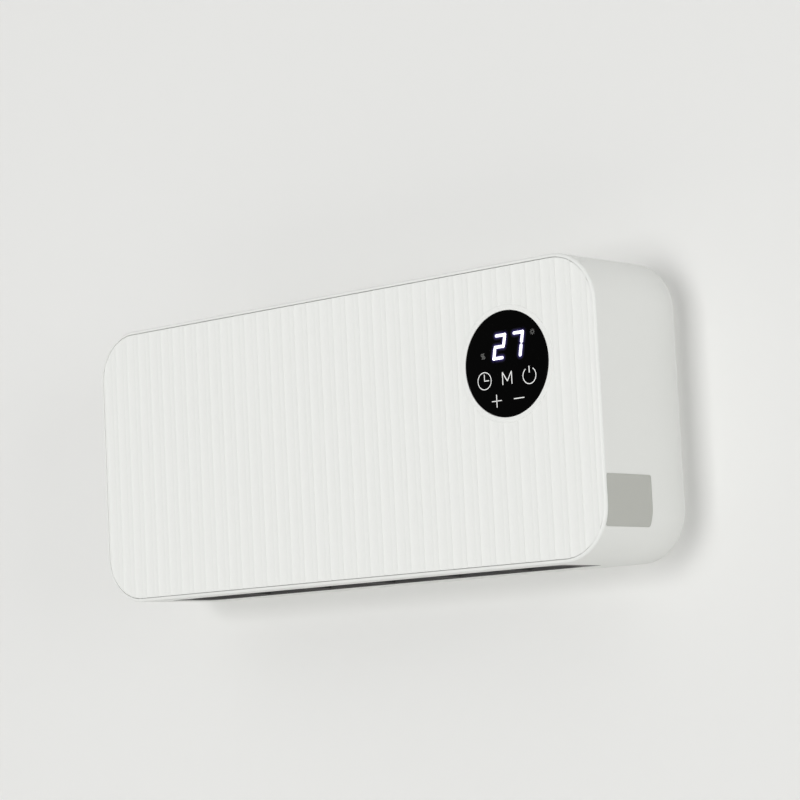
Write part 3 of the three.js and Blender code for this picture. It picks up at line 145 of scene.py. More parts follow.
def mesh_piece(name: str, points: list[Point], faces: list[list[int]]) -> Piece:
    """Make an object whose faces point outwards.

    Args:
        name: The object's name.
        points: Its points in millimetres.
        faces: Point numbers of each face.

    Returns:
        The object, linked to the scene.
    """
    mesh = bpy.data.meshes.new(name)
    mesh.from_pydata([Vector(point) * MM for point in points], [], faces)
    piece = bpy.data.objects.new(name, mesh)
    bpy.context.scene.collection.objects.link(piece)
    return outwards(piece)


def outwards(piece: Piece, merge: float = 1e-7) -> Piece:
    """Merge doubled points and turn every face outwards.

    Args:
        piece: The piece.
        merge: Points closer than this, in metres, become one.

    Returns:
        The same piece.
    """
    shape = bmesh.new()
    shape.from_mesh(piece.data)
    bmesh.ops.remove_doubles(shape, verts=shape.verts, dist=merge)
    bmesh.ops.recalc_face_normals(shape, faces=shape.faces)
    shape.to_mesh(piece.data)
    shape.free()
    return piece


def loft(name: str, rings: list[list[Point]], endless: bool = False) -> Piece:
    """Skin a row of rings that have the same number of points.

    Args:
        name: The object's name.
        rings: The rings, in order.
        endless: Whether the last ring joins the first. Otherwise both ends are closed.

    Returns:
        A closed piece.
    """
    count = len(rings[0])
    points = [point for ring in rings for point in ring]
    faces = []
    for i in range(len(rings) if endless else len(rings) - 1):
        low, high = i * count, (i + 1) % len(rings) * count
        for j in range(count):
            k = (j + 1) % count
            faces.append([low + j, low + k, high + k, high + j])
    if not endless:
        faces += [list(range(count)), list(range(len(points) - count, len(points)))]
    return mesh_piece(name, points, faces)


def rounded_ring(half: Flat, radius: float, centre: Flat = (0, 0), steps: int = 20) -> list[Flat]:
    """Trace a rectangle with round corners.

    Args:
        half: Half its two sides.
        radius: Its corner radius.
        centre: Its middle.
        steps: Steps in each corner.

    Returns:
        Its points, all the way round.
    """
    points = []
    for quarter, (a, b) in enumerate(((1, 1), (-1, 1), (-1, -1), (1, -1))):
        for i in range(steps + 1):
            angle = (quarter + i / steps) * math.pi / 2
            points.append((centre[0] + a * (half[0] - radius) + radius * math.cos(angle),
                           centre[1] + b * (half[1] - radius) + radius * math.sin(angle)))
    return points


def at_y(points: list[Flat], y: float) -> list[Point]:
    """Place an outline in X and Z at one Y."""
    return [(a, y, b) for a, b in points]


def at_z(points: list[Flat], z: float) -> list[Point]:
    """Place an outline in X and Y at one Z."""
    return [(a, b, z) for a, b in points]


def turned(name: str, axis: str, centre: Flat, profile: list[Flat], sides: int = 64) -> Piece:
    """Turn a profile about a line along X, Y or Z.

    Args:
        name: The object's name.
        axis: The line's direction.
        centre: Where the line crosses the other two axes.
        profile: Pairs of radius and place along the line. It either starts and ends on the
            line or comes back to its first point.
        sides: Steps around.

    Returns:
        A closed piece.
    """
    rings = []
    for radius, along in profile:
        ring = []
        for j in range(sides):
            a = centre[0] + radius * math.cos(2 * math.pi * j / sides)
            b = centre[1] + radius * math.sin(2 * math.pi * j / sides)
            ring.append({"x": (along, a, b), "y": (a, along, b), "z": (a, b, along)}[axis])
        rings.append(ring)
    ends_on_line = profile[0][0] == 0 and profile[-1][0] == 0
    return loft(name, rings, endless=not ends_on_line)


def rod(name: str, axis: str, centre: Flat, radius: float, ends: Flat, sides: int = 64) -> Piece:
    """Make a round bar between two places along its line, to join or to drill with."""
    low, high = ends
    return turned(name, axis, centre, [(0, low), (radius, low), (radius, high), (0, high)], sides)


def prism(name: str, outline: list[Flat], front: float, back: float) -> Piece:
    """Draw an outline in X and Z out between two places in Y."""
    return loft(name, [at_y(outline, front), at_y(outline, back)])


def block(name: str, low: Point, high: Point) -> Piece:
    """Make a plain block between two corners, to be cut, joined or rounded."""
    outline = [(low[0], low[2]), (high[0], low[2]), (high[0], high[2]), (low[0], high[2])]
    return prism(name, outline, low[1], high[1])


def beam(name: str, ends: Flat, centre: Flat, half: Flat) -> Piece:
    """Make a block between two places along X, about a place in Y and Z."""
    (y, z), (a, b) = centre, half
    return block(name, (ends[0], y - a, z - b), (ends[1], y + a, z + b))


@dataclass(frozen=True)
class Plan:
    """A rectangle with round corners seen from above, with its middle at X = 0."""

    half: Flat
    radius: float
    centre: float
    steps: int = 20

    def ring(self, growth: float, level: float) -> list[Point]:
        """Trace the outline, grown, at one height."""
        half = (self.half[0] + growth, self.half[1] + growth)
        return at_z(rounded_ring(half, self.radius + growth, (0, self.centre), self.steps), level)

    def prism(self, name: str, low: float, high: float) -> Piece:
        """Draw the outline out between two heights."""
        return loft(name, [self.ring(0, low), self.ring(0, high)])


def applied(piece: Piece) -> Piece:
    """Turn a piece's modifiers into plain mesh.

    Args:
        piece: The piece, whose modifiers are used up.

    Returns:
        The same piece.
    """
    graph = bpy.context.evaluated_depsgraph_get()
    mesh = bpy.data.meshes.new_from_object(piece.evaluated_get(graph))
    worn = piece.data
    piece.modifiers.clear()
    piece.data = mesh
    bpy.data.meshes.remove(worn)
    mesh.name = piece.name
    return piece


def grown(piece: Piece, tree: Tree, inputs: dict) -> Piece:
    """Run a Geometry Nodes tree on a piece and keep the result as plain mesh.

    Args:
        piece: The piece whose mesh enters the tree.
        tree: The tree.
        inputs: Values by input name.

    Returns:
        The same piece.
    """
    modifier = piece.modifiers.new(tree.name, "NODES")
    modifier.node_group = tree
    for item in tree.interface.items_tree:
        if item.item_type == "SOCKET" and item.in_out == "INPUT" and item.name in inputs:
            modifier[item.identifier] = inputs[item.name]
    return applied(piece)


class Join(Enum):
    """How one solid meets another."""

    CUT = "DIFFERENCE"
    FUSE = "UNION"
    KEEP_COMMON = "INTERSECT"


def meet(piece: Piece, tool: Piece, how: Join) -> Piece:
    """Cut, fuse or trim a piece by another, which is used up.

    Args:
        piece: The piece that stays.
        tool: The piece that is used up.
        how: What is kept.

    Returns:
        The piece that stays.
    """
    modifier = piece.modifiers.new("meet", "BOOLEAN")
    modifier.operation = how.value
    modifier.solver = "EXACT"
    modifier.object = tool
    applied(piece)
    spent = tool.data
    bpy.data.objects.remove(tool)
    bpy.data.meshes.remove(spent)
    return piece


def joined(name: str, pieces: list[Piece]) -> Piece:
    """Put several closed pieces in one mesh.

    Args:
        name: The new object's name.
        pieces: The pieces, which are used up.

    Returns:
        The new object.
    """
    shape = bmesh.new()
    for piece in pieces:
        shape.from_mesh(piece.data)
    whole = mesh_piece(name, [], [])
    shape.to_mesh(whole.data)
    shape.free()
    for piece in pieces:
        spent = piece.data
        bpy.data.objects.remove(piece)
        bpy.data.meshes.remove(spent)
    return whole


def softened(piece: Piece, width: float, segments: int = 2) -> Piece:
    """Round a piece's sharp edges.

    Args:
        piece: The piece.
        width: The rounding in millimetres.
        segments: Its steps.

    Returns:
        The same piece.
    """
    modifier = piece.modifiers.new("soften", "BEVEL")
    modifier.width = width * MM
    modifier.segments = segments
    modifier.limit_method = "ANGLE"
    modifier.angle_limit = math.radians(40)
    return applied(piece)


def dress(piece: Piece, material: Material, body: str,
          stands_for: list[str] | None = None, sharp: float = 32) -> Piece:
    """Finish a piece: shading, material, body and the CAD nodes it stands for.

    Args:
        piece: The piece.
        material: Its material.
        body: The body that it rides on.
        stands_for: CAD nodes that it replaces.
        sharp: The angle from which an edge stays sharp.

    Returns:
        The same piece.
    """
    if not piece.data.materials:
        piece.data.materials.append(material)
    else:
        piece.data.materials[0] = material
    piece.data.shade_smooth()
    piece.data.set_sharp_from_angle(angle=math.radians(sharp))
    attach(piece, body)
    if stands_for:
        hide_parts(*stands_for)
    LOG.info("%s: %d faces on %s", piece.name, len(piece.data.polygons), body)
    return piece


def recoat(material: Material, *nodes: str) -> None:
    """Give CAD nodes whose shape is right a better material.

    Args:
        material: The material.
        *nodes: The nodes' names.
    """
    for name in nodes:
        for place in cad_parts[name].material_slots:
            place.material = material
        LOG.info("%s: new finish %s", name, material.name)


# ------------------------------------------------------------------ repeated shapes

class Repeats:
    """Geometry Nodes trees for what repeats or follows a rule."""

    def __init__(self) -> None:
        """Build the trees once."""
        self.grid = self._grid()
        self.circle = self._circle()
        self.flutes = self._flutes()
        self.folds = self._folds()
        self.coils = self._coils()

    def in_rows(self, piece: Piece, material: Material, centre: Point,
                columns: tuple[int, Point],
                rows: tuple[int, Point] = (1, (0, 0, 0))) -> Piece:
        """Repeat a piece that is made about the origin.

        Args:
            piece: The piece.
            material: Its material.
            centre: The middle of the pattern.
            columns: Number of columns and the step from one to the next.
            rows: Number of rows and the step from one to the next.

        Returns:
            The same piece.
        """
        return grown(piece, self.grid, {
            "Columns": columns[0], "Rows": rows[0], "Column Step": Vector(columns[1]) * MM,
            "Row Step": Vector(rows[1]) * MM, "Centre": Vector(centre) * MM, "Material": material})

    def _grid(self) -> Tree:
        """Repeat the piece in rows and columns.

        Returns:
            A tree with counts, steps as vectors and the centre of the pattern.
        """
        tree, entry = geometry_tree("repeat_in_rows", {
            "Columns": "NodeSocketInt", "Rows": "NodeSocketInt",
            "Column Step": "NodeSocketVector", "Row Step": "NodeSocketVector",
            "Centre": "NodeSocketVector"})
        given = entry.outputs
        count = add_node(tree, MATH, "MULTIPLY", {0: given["Columns"], 1: given["Rows"]})
        index = add_node(tree, "GeometryNodeInputIndex")
        places = {}
        for label in ("Columns", "Rows"):
            share = add_node(tree, MATH, "DIVIDE", {0: index, 1: given["Columns"]})
            whole = add_node(tree, MATH, "FLOOR", {0: share})
            if label == "Rows":
                number = whole
            else:
                passed = add_node(tree, MATH, "MULTIPLY", {0: whole, 1: given["Columns"]})
                number = add_node(tree, MATH, "SUBTRACT", {0: index, 1: passed})
            last = add_node(tree, MATH, "SUBTRACT", {0: given[label], 1: 1.0})
            middle = add_node(tree, MATH, "DIVIDE", {0: last, 1: 2.0})
            offset = add_node(tree, MATH, "SUBTRACT", {0: number, 1: middle})
            step = given["Column Step" if label == "Columns" else "Row Step"]
            places[label] = add_node(tree, VECTOR_MATH, "SCALE", {0: step, "Scale": offset})
        both = add_node(tree, VECTOR_MATH, "ADD", {0: places["Columns"], 1: places["Rows"]})
        place = add_node(tree, VECTOR_MATH, "ADD", {0: both, 1: given["Centre"]})
        points = add_node(tree, "GeometryNodePoints", inputs={"Count": count, "Position": place})
        copies = add_node(tree, "GeometryNodeInstanceOnPoints",
                          inputs={"Points": points, "Instance": given["Geometry"]})
        close_tree(tree, entry, copies)
        return tree

    def _circle(self) -> Tree:
        """Repeat the piece around a line along X.

        Returns:
            A tree with the count and the line's place.
        """
        tree, entry = geometry_tree("repeat_round", {
            "Count": "NodeSocketInt", "Centre": "NodeSocketVector"})
        given = entry.outputs
        points = add_node(tree, "GeometryNodePoints",
                          inputs={"Count": given["Count"], "Position": given["Centre"]})
        index = add_node(tree, "GeometryNodeInputIndex")
        share = add_node(tree, MATH, "DIVIDE", {0: index, 1: given["Count"]})
        angle = add_node(tree, MATH, "MULTIPLY", {0: share, 1: 2 * math.pi})
        turn = add_node(tree, "ShaderNodeCombineXYZ", inputs={"X": angle})
        spin = add_node(tree, "FunctionNodeEulerToRotation", inputs={0: turn})
        copies = add_node(tree, "GeometryNodeInstanceOnPoints", inputs={
            "Points": points, "Instance": given["Geometry"], "Rotation": spin})
        close_tree(tree, entry, copies)
        return tree

    def _flutes(self) -> Tree:
        """Make a slab whose front has upright ridges, high and low in turn, between hollows.

        Returns:
            A tree with the ridges' places and heights and the slab's planes.
        """
        steps, wide_steps = 24, 13
        tree, entry = geometry_tree("upright_flutes", {
            "Flutes": "NodeSocketInt", "Start": "NodeSocketFloat", "Pitch": "NodeSocketFloat",
            "Low Ridge At": "NodeSocketFloat", "High Ridge": "NodeSocketFloat",
            "Low Ridge": "NodeSocketFloat", "Height": "NodeSocketFloat",
            "Front": "NodeSocketFloat", "Back": "NodeSocketFloat"})
        given = entry.outputs
        spans = add_node(tree, MATH, "MULTIPLY", {0: given["Flutes"], 1: float(steps)})
        columns = add_node(tree, MATH, "ADD", {0: spans, 1: 1.0})
        size = add_node(tree, "ShaderNodeCombineXYZ",
                        inputs={"X": spans, "Y": 2.0, "Z": given["Height"]})
        slab = add_node(tree, "GeometryNodeMeshCube", inputs={"Size": size, "Vertices X": columns})
        place = add_node(tree, "GeometryNodeInputPosition")
        axes = add_node(tree, "ShaderNodeSeparateXYZ", inputs={0: place})
        half = add_node(tree, MATH, "DIVIDE", {0: spans, 1: 2.0})
        shifted = add_node(tree, MATH, "ADD", {0: axes.outputs["X"], 1: half})
        column = add_node(tree, MATH, "ROUND", {0: shifted})
        ratio = add_node(tree, MATH, "DIVIDE", {0: column, 1: float(steps)})
        flute = add_node(tree, MATH, "FLOOR", {0: ratio})
        within = add_node(tree, MATH, "MULTIPLY_ADD", {0: flute, 1: -float(steps), 2: column})
        is_wide = add_node(tree, MATH, "LESS_THAN", {0: within, 1: wide_steps - 0.5})
        wide_share = add_node(tree, MATH, "DIVIDE", {0: within, 1: float(wide_steps)})
        past = add_node(tree, MATH, "SUBTRACT", {0: within, 1: float(wide_steps)})
        narrow_share = add_node(tree, MATH, "DIVIDE", {0: past, 1: float(steps - wide_steps)})
        share = add_node(tree, "ShaderNodeMix", {"data_type": "FLOAT"}, {
            "Factor": is_wide, "A": narrow_share, "B": wide_share})
        narrow = add_node(tree, MATH, "SUBTRACT", {0: given["Pitch"], 1: given["Low Ridge At"]})
        narrow_x = add_node(tree, MATH, "MULTIPLY_ADD",
                            {0: narrow, 1: share, 2: given["Low Ridge At"]})
        wide_x = add_node(tree, MATH, "MULTIPLY", {0: given["Low Ridge At"], 1: share})
        local = add_node(tree, "ShaderNodeMix", {"data_type": "FLOAT"}, {
            "Factor": is_wide, "A": narrow_x, "B": wide_x})
        offset = add_node(tree, MATH, "MULTIPLY_ADD", {0: flute, 1: given["Pitch"], 2: local})
        across = add_node(tree, MATH, "ADD", {0: offset, 1: given["Start"]})
        rest = add_node(tree, MATH, "SUBTRACT", {0: 1.0, 1: share})
        left_height = add_node(tree, "ShaderNodeMix", {"data_type": "FLOAT"}, {
            "Factor": is_wide, "A": given["Low Ridge"], "B": given["High Ridge"]})
        right_height = add_node(tree, "ShaderNodeMix", {"data_type": "FLOAT"}, {
            "Factor": is_wide, "A": given["High Ridge"], "B": given["Low Ridge"]})
        # Each ridge falls gently to its right and steeply to its left.
        gentle = add_node(tree, MATH, "POWER", {0: rest, 1: 3.6})
        steep = add_node(tree, MATH, "POWER", {0: share, 1: 16.0})
        from_left = add_node(tree, MATH, "MULTIPLY", {0: gentle, 1: left_height})
        lift = add_node(tree, MATH, "MULTIPLY_ADD", {0: steep, 1: right_height, 2: from_left})
        hollow = add_node(tree, MATH, "ADD", {0: given["Front"], 1: given["High Ridge"]})
        face = add_node(tree, MATH, "SUBTRACT", {0: hollow, 1: lift})
        is_back = add_node(tree, MATH, "GREATER_THAN", {0: axes.outputs["Y"], 1: 0.0})
        depth = add_node(tree, "ShaderNodeMix", {"data_type": "FLOAT"}, {
            "Factor": is_back, "A": face, "B": given["Back"]})
        target = add_node(tree, "ShaderNodeCombineXYZ", inputs={
            "X": across, "Y": depth, "Z": axes.outputs["Z"]})
        shaped = add_node(tree, "GeometryNodeSetPosition", inputs={
            "Geometry": slab.outputs["Mesh"], "Position": target})
        close_tree(tree, entry, shaped)
        return tree

    def _folds(self) -> Tree:
        """Fold a thin strip to and fro between two planes, along X.

        Returns:
            A tree with the folds' pitch and the strip's thickness and height.
        """
        tree, entry = geometry_tree("folded_strip", {
            "Folds": "NodeSocketInt", "Start": "NodeSocketFloat", "Pitch": "NodeSocketFloat",
            "Low": "NodeSocketFloat", "High": "NodeSocketFloat", "Level": "NodeSocketFloat",
            "Thickness": "NodeSocketFloat", "Height": "NodeSocketFloat"})
        given = entry.outputs
        count = add_node(tree, MATH, "MULTIPLY", {0: given["Folds"], 1: 4.0})
        line = add_node(tree, "GeometryNodeMeshLine", inputs={"Count": count})
        index = add_node(tree, "GeometryNodeInputIndex")
        quarter = add_node(tree, MATH, "DIVIDE", {0: index, 1: 4.0})
        part = add_node(tree, MATH, "FRACT", {0: quarter})
        is_high = add_node(tree, MATH, "GREATER_THAN", {0: part, 1: 0.4})
        pair = add_node(tree, MATH, "MULTIPLY", {0: part, 1: 4.0})
        odd = add_node(tree, MATH, "MODULO", {0: pair, 1: 2.0})
        crest = add_node(tree, MATH, "MULTIPLY", {0: odd, 1: 0.28})
        fold = add_node(tree, MATH, "FLOOR", {0: quarter})
        half = add_node(tree, MATH, "MULTIPLY_ADD", {0: is_high, 1: 0.5, 2: fold})
        along = add_node(tree, MATH, "ADD", {0: half, 1: crest})
        x = add_node(tree, MATH, "MULTIPLY_ADD", {0: along, 1: given["Pitch"], 2: given["Start"]})
        y = add_node(tree, "ShaderNodeMix", {"data_type": "FLOAT"}, {
            "Factor": is_high, "A": given["Low"], "B": given["High"]})
        target = add_node(tree, "ShaderNodeCombineXYZ", inputs={
            "X": x, "Y": y, "Z": given["Level"]})
        bent = add_node(tree, "GeometryNodeSetPosition", inputs={
            "Geometry": line, "Position": target})
        path = add_node(tree, "GeometryNodeMeshToCurve", inputs={0: bent})
        upright = add_node(tree, "GeometryNodeSetCurveNormal", {"mode": "Z_UP"}, {0: path})
        section = add_node(tree, "GeometryNodeCurvePrimitiveQuadrilateral", inputs={
            "Width": given["Thickness"], "Height": given["Height"]})
        strip = add_node(tree, "GeometryNodeCurveToMesh", inputs={
            "Curve": upright, "Profile Curve": section, "Fill Caps": True})
        close_tree(tree, entry, strip)
        return tree

    def _coils(self) -> Tree:
        """Stand a coiled spring, with its line along Y, on each point of the piece.

        Returns:
            A tree with the coil's sizes.
        """
        tree, entry = geometry_tree("coiled_springs", {
            "Radius": "NodeSocketFloat", "Wire": "NodeSocketFloat",
            "Length": "NodeSocketFloat", "Turns": "NodeSocketFloat"})
        given = entry.outputs
        spiral = add_node(tree, "GeometryNodeCurveSpiral", inputs={
            "Resolution": 16, "Rotations": given["Turns"], "Start Radius": given["Radius"],
            "End Radius": given["Radius"], "Height": given["Length"]})
        wire = add_node(tree, "GeometryNodeCurvePrimitiveCircle", {"mode": "RADIUS"},
                        {"Resolution": 8, "Radius": given["Wire"]})
        coil = add_node(tree, "GeometryNodeCurveToMesh", inputs={
            "Curve": spiral, "Profile Curve": wire, "Fill Caps": True})
        turn = add_node(tree, "FunctionNodeEulerToRotation", inputs={0: (-math.pi / 2, 0.0, 0.0)})
        copies = add_node(tree, "GeometryNodeInstanceOnPoints", inputs={
            "Points": given["Geometry"], "Instance": coil, "Rotation": turn})
        close_tree(tree, entry, copies)
        return tree


# ------------------------------------------------------------------ finishes

class Relief(Enum):
    """How a surface was made, which gives its fine relief."""

    MOULDED = "moulded"
    BRUSHED = "brushed"
    ROLLED = "rolled"
    PRINTED = "printed"


@dataclass(frozen=True)
class Finish:
    """A real material and how its surface was made."""

    name: str
    colour: str
    roughness: float
    metallic: float = 0.0
    ior: float = 1.5
    specular: float = 0.5
    relief: Relief = Relief.MOULDED
    grain_mm: float = 0.8
    depth_mm: float = 0.01
    drift: float = 0.015
    drift_mm: float = 45.0
    gloss_drift: float = 0.06
    glow: float = 0.0

    def material(self) -> Material:
        """Build the material.

        Returns:
            A node material on Object coordinates.
        """
        material = bpy.data.materials.new(self.name)
        material.use_nodes = True
        tree = material.node_tree
        shader = tree.nodes["Principled BSDF"]
        shader.inputs["Metallic"].default_value = self.metallic
        shader.inputs["IOR"].default_value = self.ior
        shader.inputs["Specular IOR Level"].default_value = self.specular
        where = add_node(tree, "ShaderNodeTexCoord")
        stretch = (1.0, 1.0, 1.0)
        if self.relief is Relief.BRUSHED:
            stretch = (0.04, 1.0, 1.0)
        mapped = add_node(tree, "ShaderNodeMapping", inputs={
            "Vector": where.outputs["Object"], "Scale": stretch})
        slow = add_node(tree, "ShaderNodeTexNoise", inputs={
            "Vector": where.outputs["Object"], "Scale": 1 / (self.drift_mm * MM), "Detail": 3.0})
        base = linear(self.colour)
        dark = tuple(c * (1 - self.drift) for c in base[:3]) + (1.0,)
        light = tuple(min(c * (1 + self.drift), 1.0) for c in base[:3]) + (1.0,)
        cloudy = add_node(tree, "ShaderNodeMix", {"data_type": "RGBA"}, {
            "Factor": slow.outputs["Fac"], 6: dark, 7: light})
        tree.links.new(cloudy.outputs[2], shader.inputs["Base Color"])
        fine = add_node(tree, "ShaderNodeTexNoise", inputs={
            "Vector": mapped, "Scale": 1 / (self.grain_mm * MM), "Detail": 2.0})
        gloss = add_node(tree, "ShaderNodeMapRange", inputs={
            "Value": slow.outputs["Fac"], "From Min": 0.3, "From Max": 0.7,
            "To Min": max(self.roughness - self.gloss_drift, 0.02),
            "To Max": self.roughness + self.gloss_drift})
        tree.links.new(gloss.outputs[0], shader.inputs["Roughness"])
        bump = add_node(tree, "ShaderNodeBump", inputs={
            "Strength": 1.0, "Distance": self.depth_mm * MM, "Height": fine.outputs["Fac"]})
        tree.links.new(bump.outputs[0], shader.inputs["Normal"])
        if self.glow:
            shader.inputs["Emission Color"].default_value = base
            shader.inputs["Emission Strength"].default_value = self.glow
        return material


class Finishes:
    """Every material on the heater, by what it really is."""

    def __init__(self) -> None:
        """Build the materials once."""
        # Moulded ABS with a fine satin: broad highlights along the ribs that stay below white.
        self.panel_abs = Finish("satin_moulded_white_abs", "E8E9E6", 0.54, specular=0.32,
                                grain_mm=0.7, depth_mm=0.004, drift=0.006).material()
        # The same ABS from a spark-eroded mould: finer and deeper grain, a little glossier.
        self.casing_abs = Finish("spark_eroded_white_abs", "E7E8E5", 0.44, grain_mm=0.45,
                                 depth_mm=0.008, drift=0.008).material()
        # Cast acrylic, black throughout and polished: almost no colour of its own.
        self.acrylic = Finish("polished_black_acrylic", "050505", 0.07, ior=1.49, specular=0.01,
                              depth_mm=0.0005, drift=0.02, gloss_drift=0.02).material()
        # Bright light through the thin places of the black acrylic.
        self.digit_light = Finish("lit_digit_diffuser", "F4F2FF", 0.5, specular=0.1,
                                  glow=0.9).material()
        self.icon_light = Finish("lit_icon_diffuser", "F0F0EE", 0.5, specular=0.1,
                                 glow=0.1).material()
        self.dim_light = Finish("unlit_icon_diffuser", "6E6E6C", 0.5, specular=0.1).material()
        # Stray light of the digits in the acrylic: violet, weaker further out.
        self.halos = [Finish(f"stray_light_{i}", colour, 0.5, specular=0.01, glow=0.5).material()
                      for i, colour in enumerate(("3A3460", "1F1B38", "100F19"))]
        # Dark grey ABS of the outlet, louver and switch: dull, with a fine grain.
        self.dark_abs = Finish("moulded_dark_grey_abs", "3A3938", 0.5, grain_mm=0.5,
                               depth_mm=0.01, drift=0.03).material()
        # Uncoloured ABS of the duct and carriers: creamy, with flow marks.
        self.natural_abs = Finish("uncoloured_moulded_abs", "D5D2C8", 0.5, grain_mm=1.2,
                                  drift=0.03, drift_mm=30).material()
        # Glass-filled PBT next to the heating bank: matt, slightly speckled.
        self.pbt = Finish("glass_filled_pbt", "98928A", 0.62, grain_mm=0.3, depth_mm=0.02,
                          drift=0.05, drift_mm=1.5).material()
        # EPDM rubber: matt, almost black.
        self.epdm = Finish("moulded_epdm_rubber", "262626", 0.78, specular=0.35, grain_mm=0.35,
                           depth_mm=0.015, drift=0.06, drift_mm=6).material()
        # Galvanised sheet steel of the motor cans: grey with soft cloudy spangle.
        self.galvanised = Finish("galvanised_sheet_steel", "A9ACAE", 0.38, 1.0,
                                 relief=Relief.ROLLED, grain_mm=2.5, depth_mm=0.004, drift=0.09,
                                 drift_mm=5).material()
        # Zinc-plated wire and screw steel: brighter, with fine turning lines.
        self.zinc = Finish("zinc_plated_steel", "C3C6C9", 0.28, 1.0, relief=Relief.BRUSHED,
                           grain_mm=0.3, depth_mm=0.003, drift=0.04, drift_mm=3).material()
        # Extruded and rolled aluminium of the heating bank.
        self.aluminium = Finish("extruded_aluminium", "CDD0D2", 0.33, 1.0,
                                relief=Relief.BRUSHED, grain_mm=0.4, depth_mm=0.004, drift=0.04,
                                drift_mm=8).material()
        # Sintered bronze: brown, open-grained.
        self.bronze = Finish("sintered_bronze", "9C7748", 0.48, 1.0, relief=Relief.ROLLED,
                             grain_mm=0.2, depth_mm=0.01, drift=0.08, drift_mm=2).material()
        # Glass-epoxy board under solder mask.
        self.board = self._board()
        # Matt polyester label stock, blank.
        self.label = Finish("matt_polyester_label", "B8B9B3", 0.46, relief=Relief.PRINTED,
                            grain_mm=0.25, depth_mm=0.002, drift=0.012, drift_mm=12).material()
        # PBT of the relay cases, polyester tape of the transformer, PET-sleeved capacitor.
        self.relay_pbt = Finish("moulded_blue_pbt", "2B5C9E", 0.42).material()
        self.tape = Finish("yellow_polyester_tape", "C9A227", 0.34, drift=0.05,
                           drift_mm=5).material()
        self.sleeve = Finish("glass_silicone_sleeve", "DEDBD2", 0.66, grain_mm=0.4,
                             depth_mm=0.03, drift=0.04, drift_mm=2).material()
        # Woven polypropylene of the dust net.
        self.net = Finish("woven_polypropylene_net", "6C7176", 0.7, grain_mm=0.3,
                          drift=0.05, drift_mm=4).material()
        # Satin white print on the rocker.
        self.mark = Finish("pad_printed_white", "D6D6D2", 0.5, relief=Relief.PRINTED).material()

    def _board(self) -> Material:
        """Build solder mask over copper tracks.

        Returns:
            A material whose tracks show a little lighter.
        """
        material = Finish("solder_masked_glass_epoxy", "1D5A3B", 0.34, drift=0.05,
                          drift_mm=4).material()
        tree = material.node_tree
        shader = tree.nodes["Principled BSDF"]
        where = add_node(tree, "ShaderNodeTexCoord")
        turned_over = add_node(tree, "ShaderNodeMapping", inputs={
            "Vector": where.outputs["Object"], "Rotation": (0.0, math.pi / 2, 0.0)})
        # Tracks about 2.5 mm apart with gaps of a tenth of that.
        tracks = add_node(tree, "ShaderNodeTexBrick", inputs={
            "Vector": turned_over, "Color1": linear("1B5638"),
            "Color2": linear("2A7A50"), "Mortar": linear("12402A"), "Scale": 1.0,
            "Mortar Size": 0.25 * MM, "Brick Width": 9 * MM, "Row Height": 2.5 * MM})
        tree.links.new(tracks.outputs["Color"], shader.inputs["Base Color"])
        return material


# ------------------------------------------------------------------ sub-assemblies

@dataclass
class Assembly:
    """A sub-assembly: the finishes that it takes and the trees that repeat its pieces."""

    finishes: Finishes
    repeats: Repeats


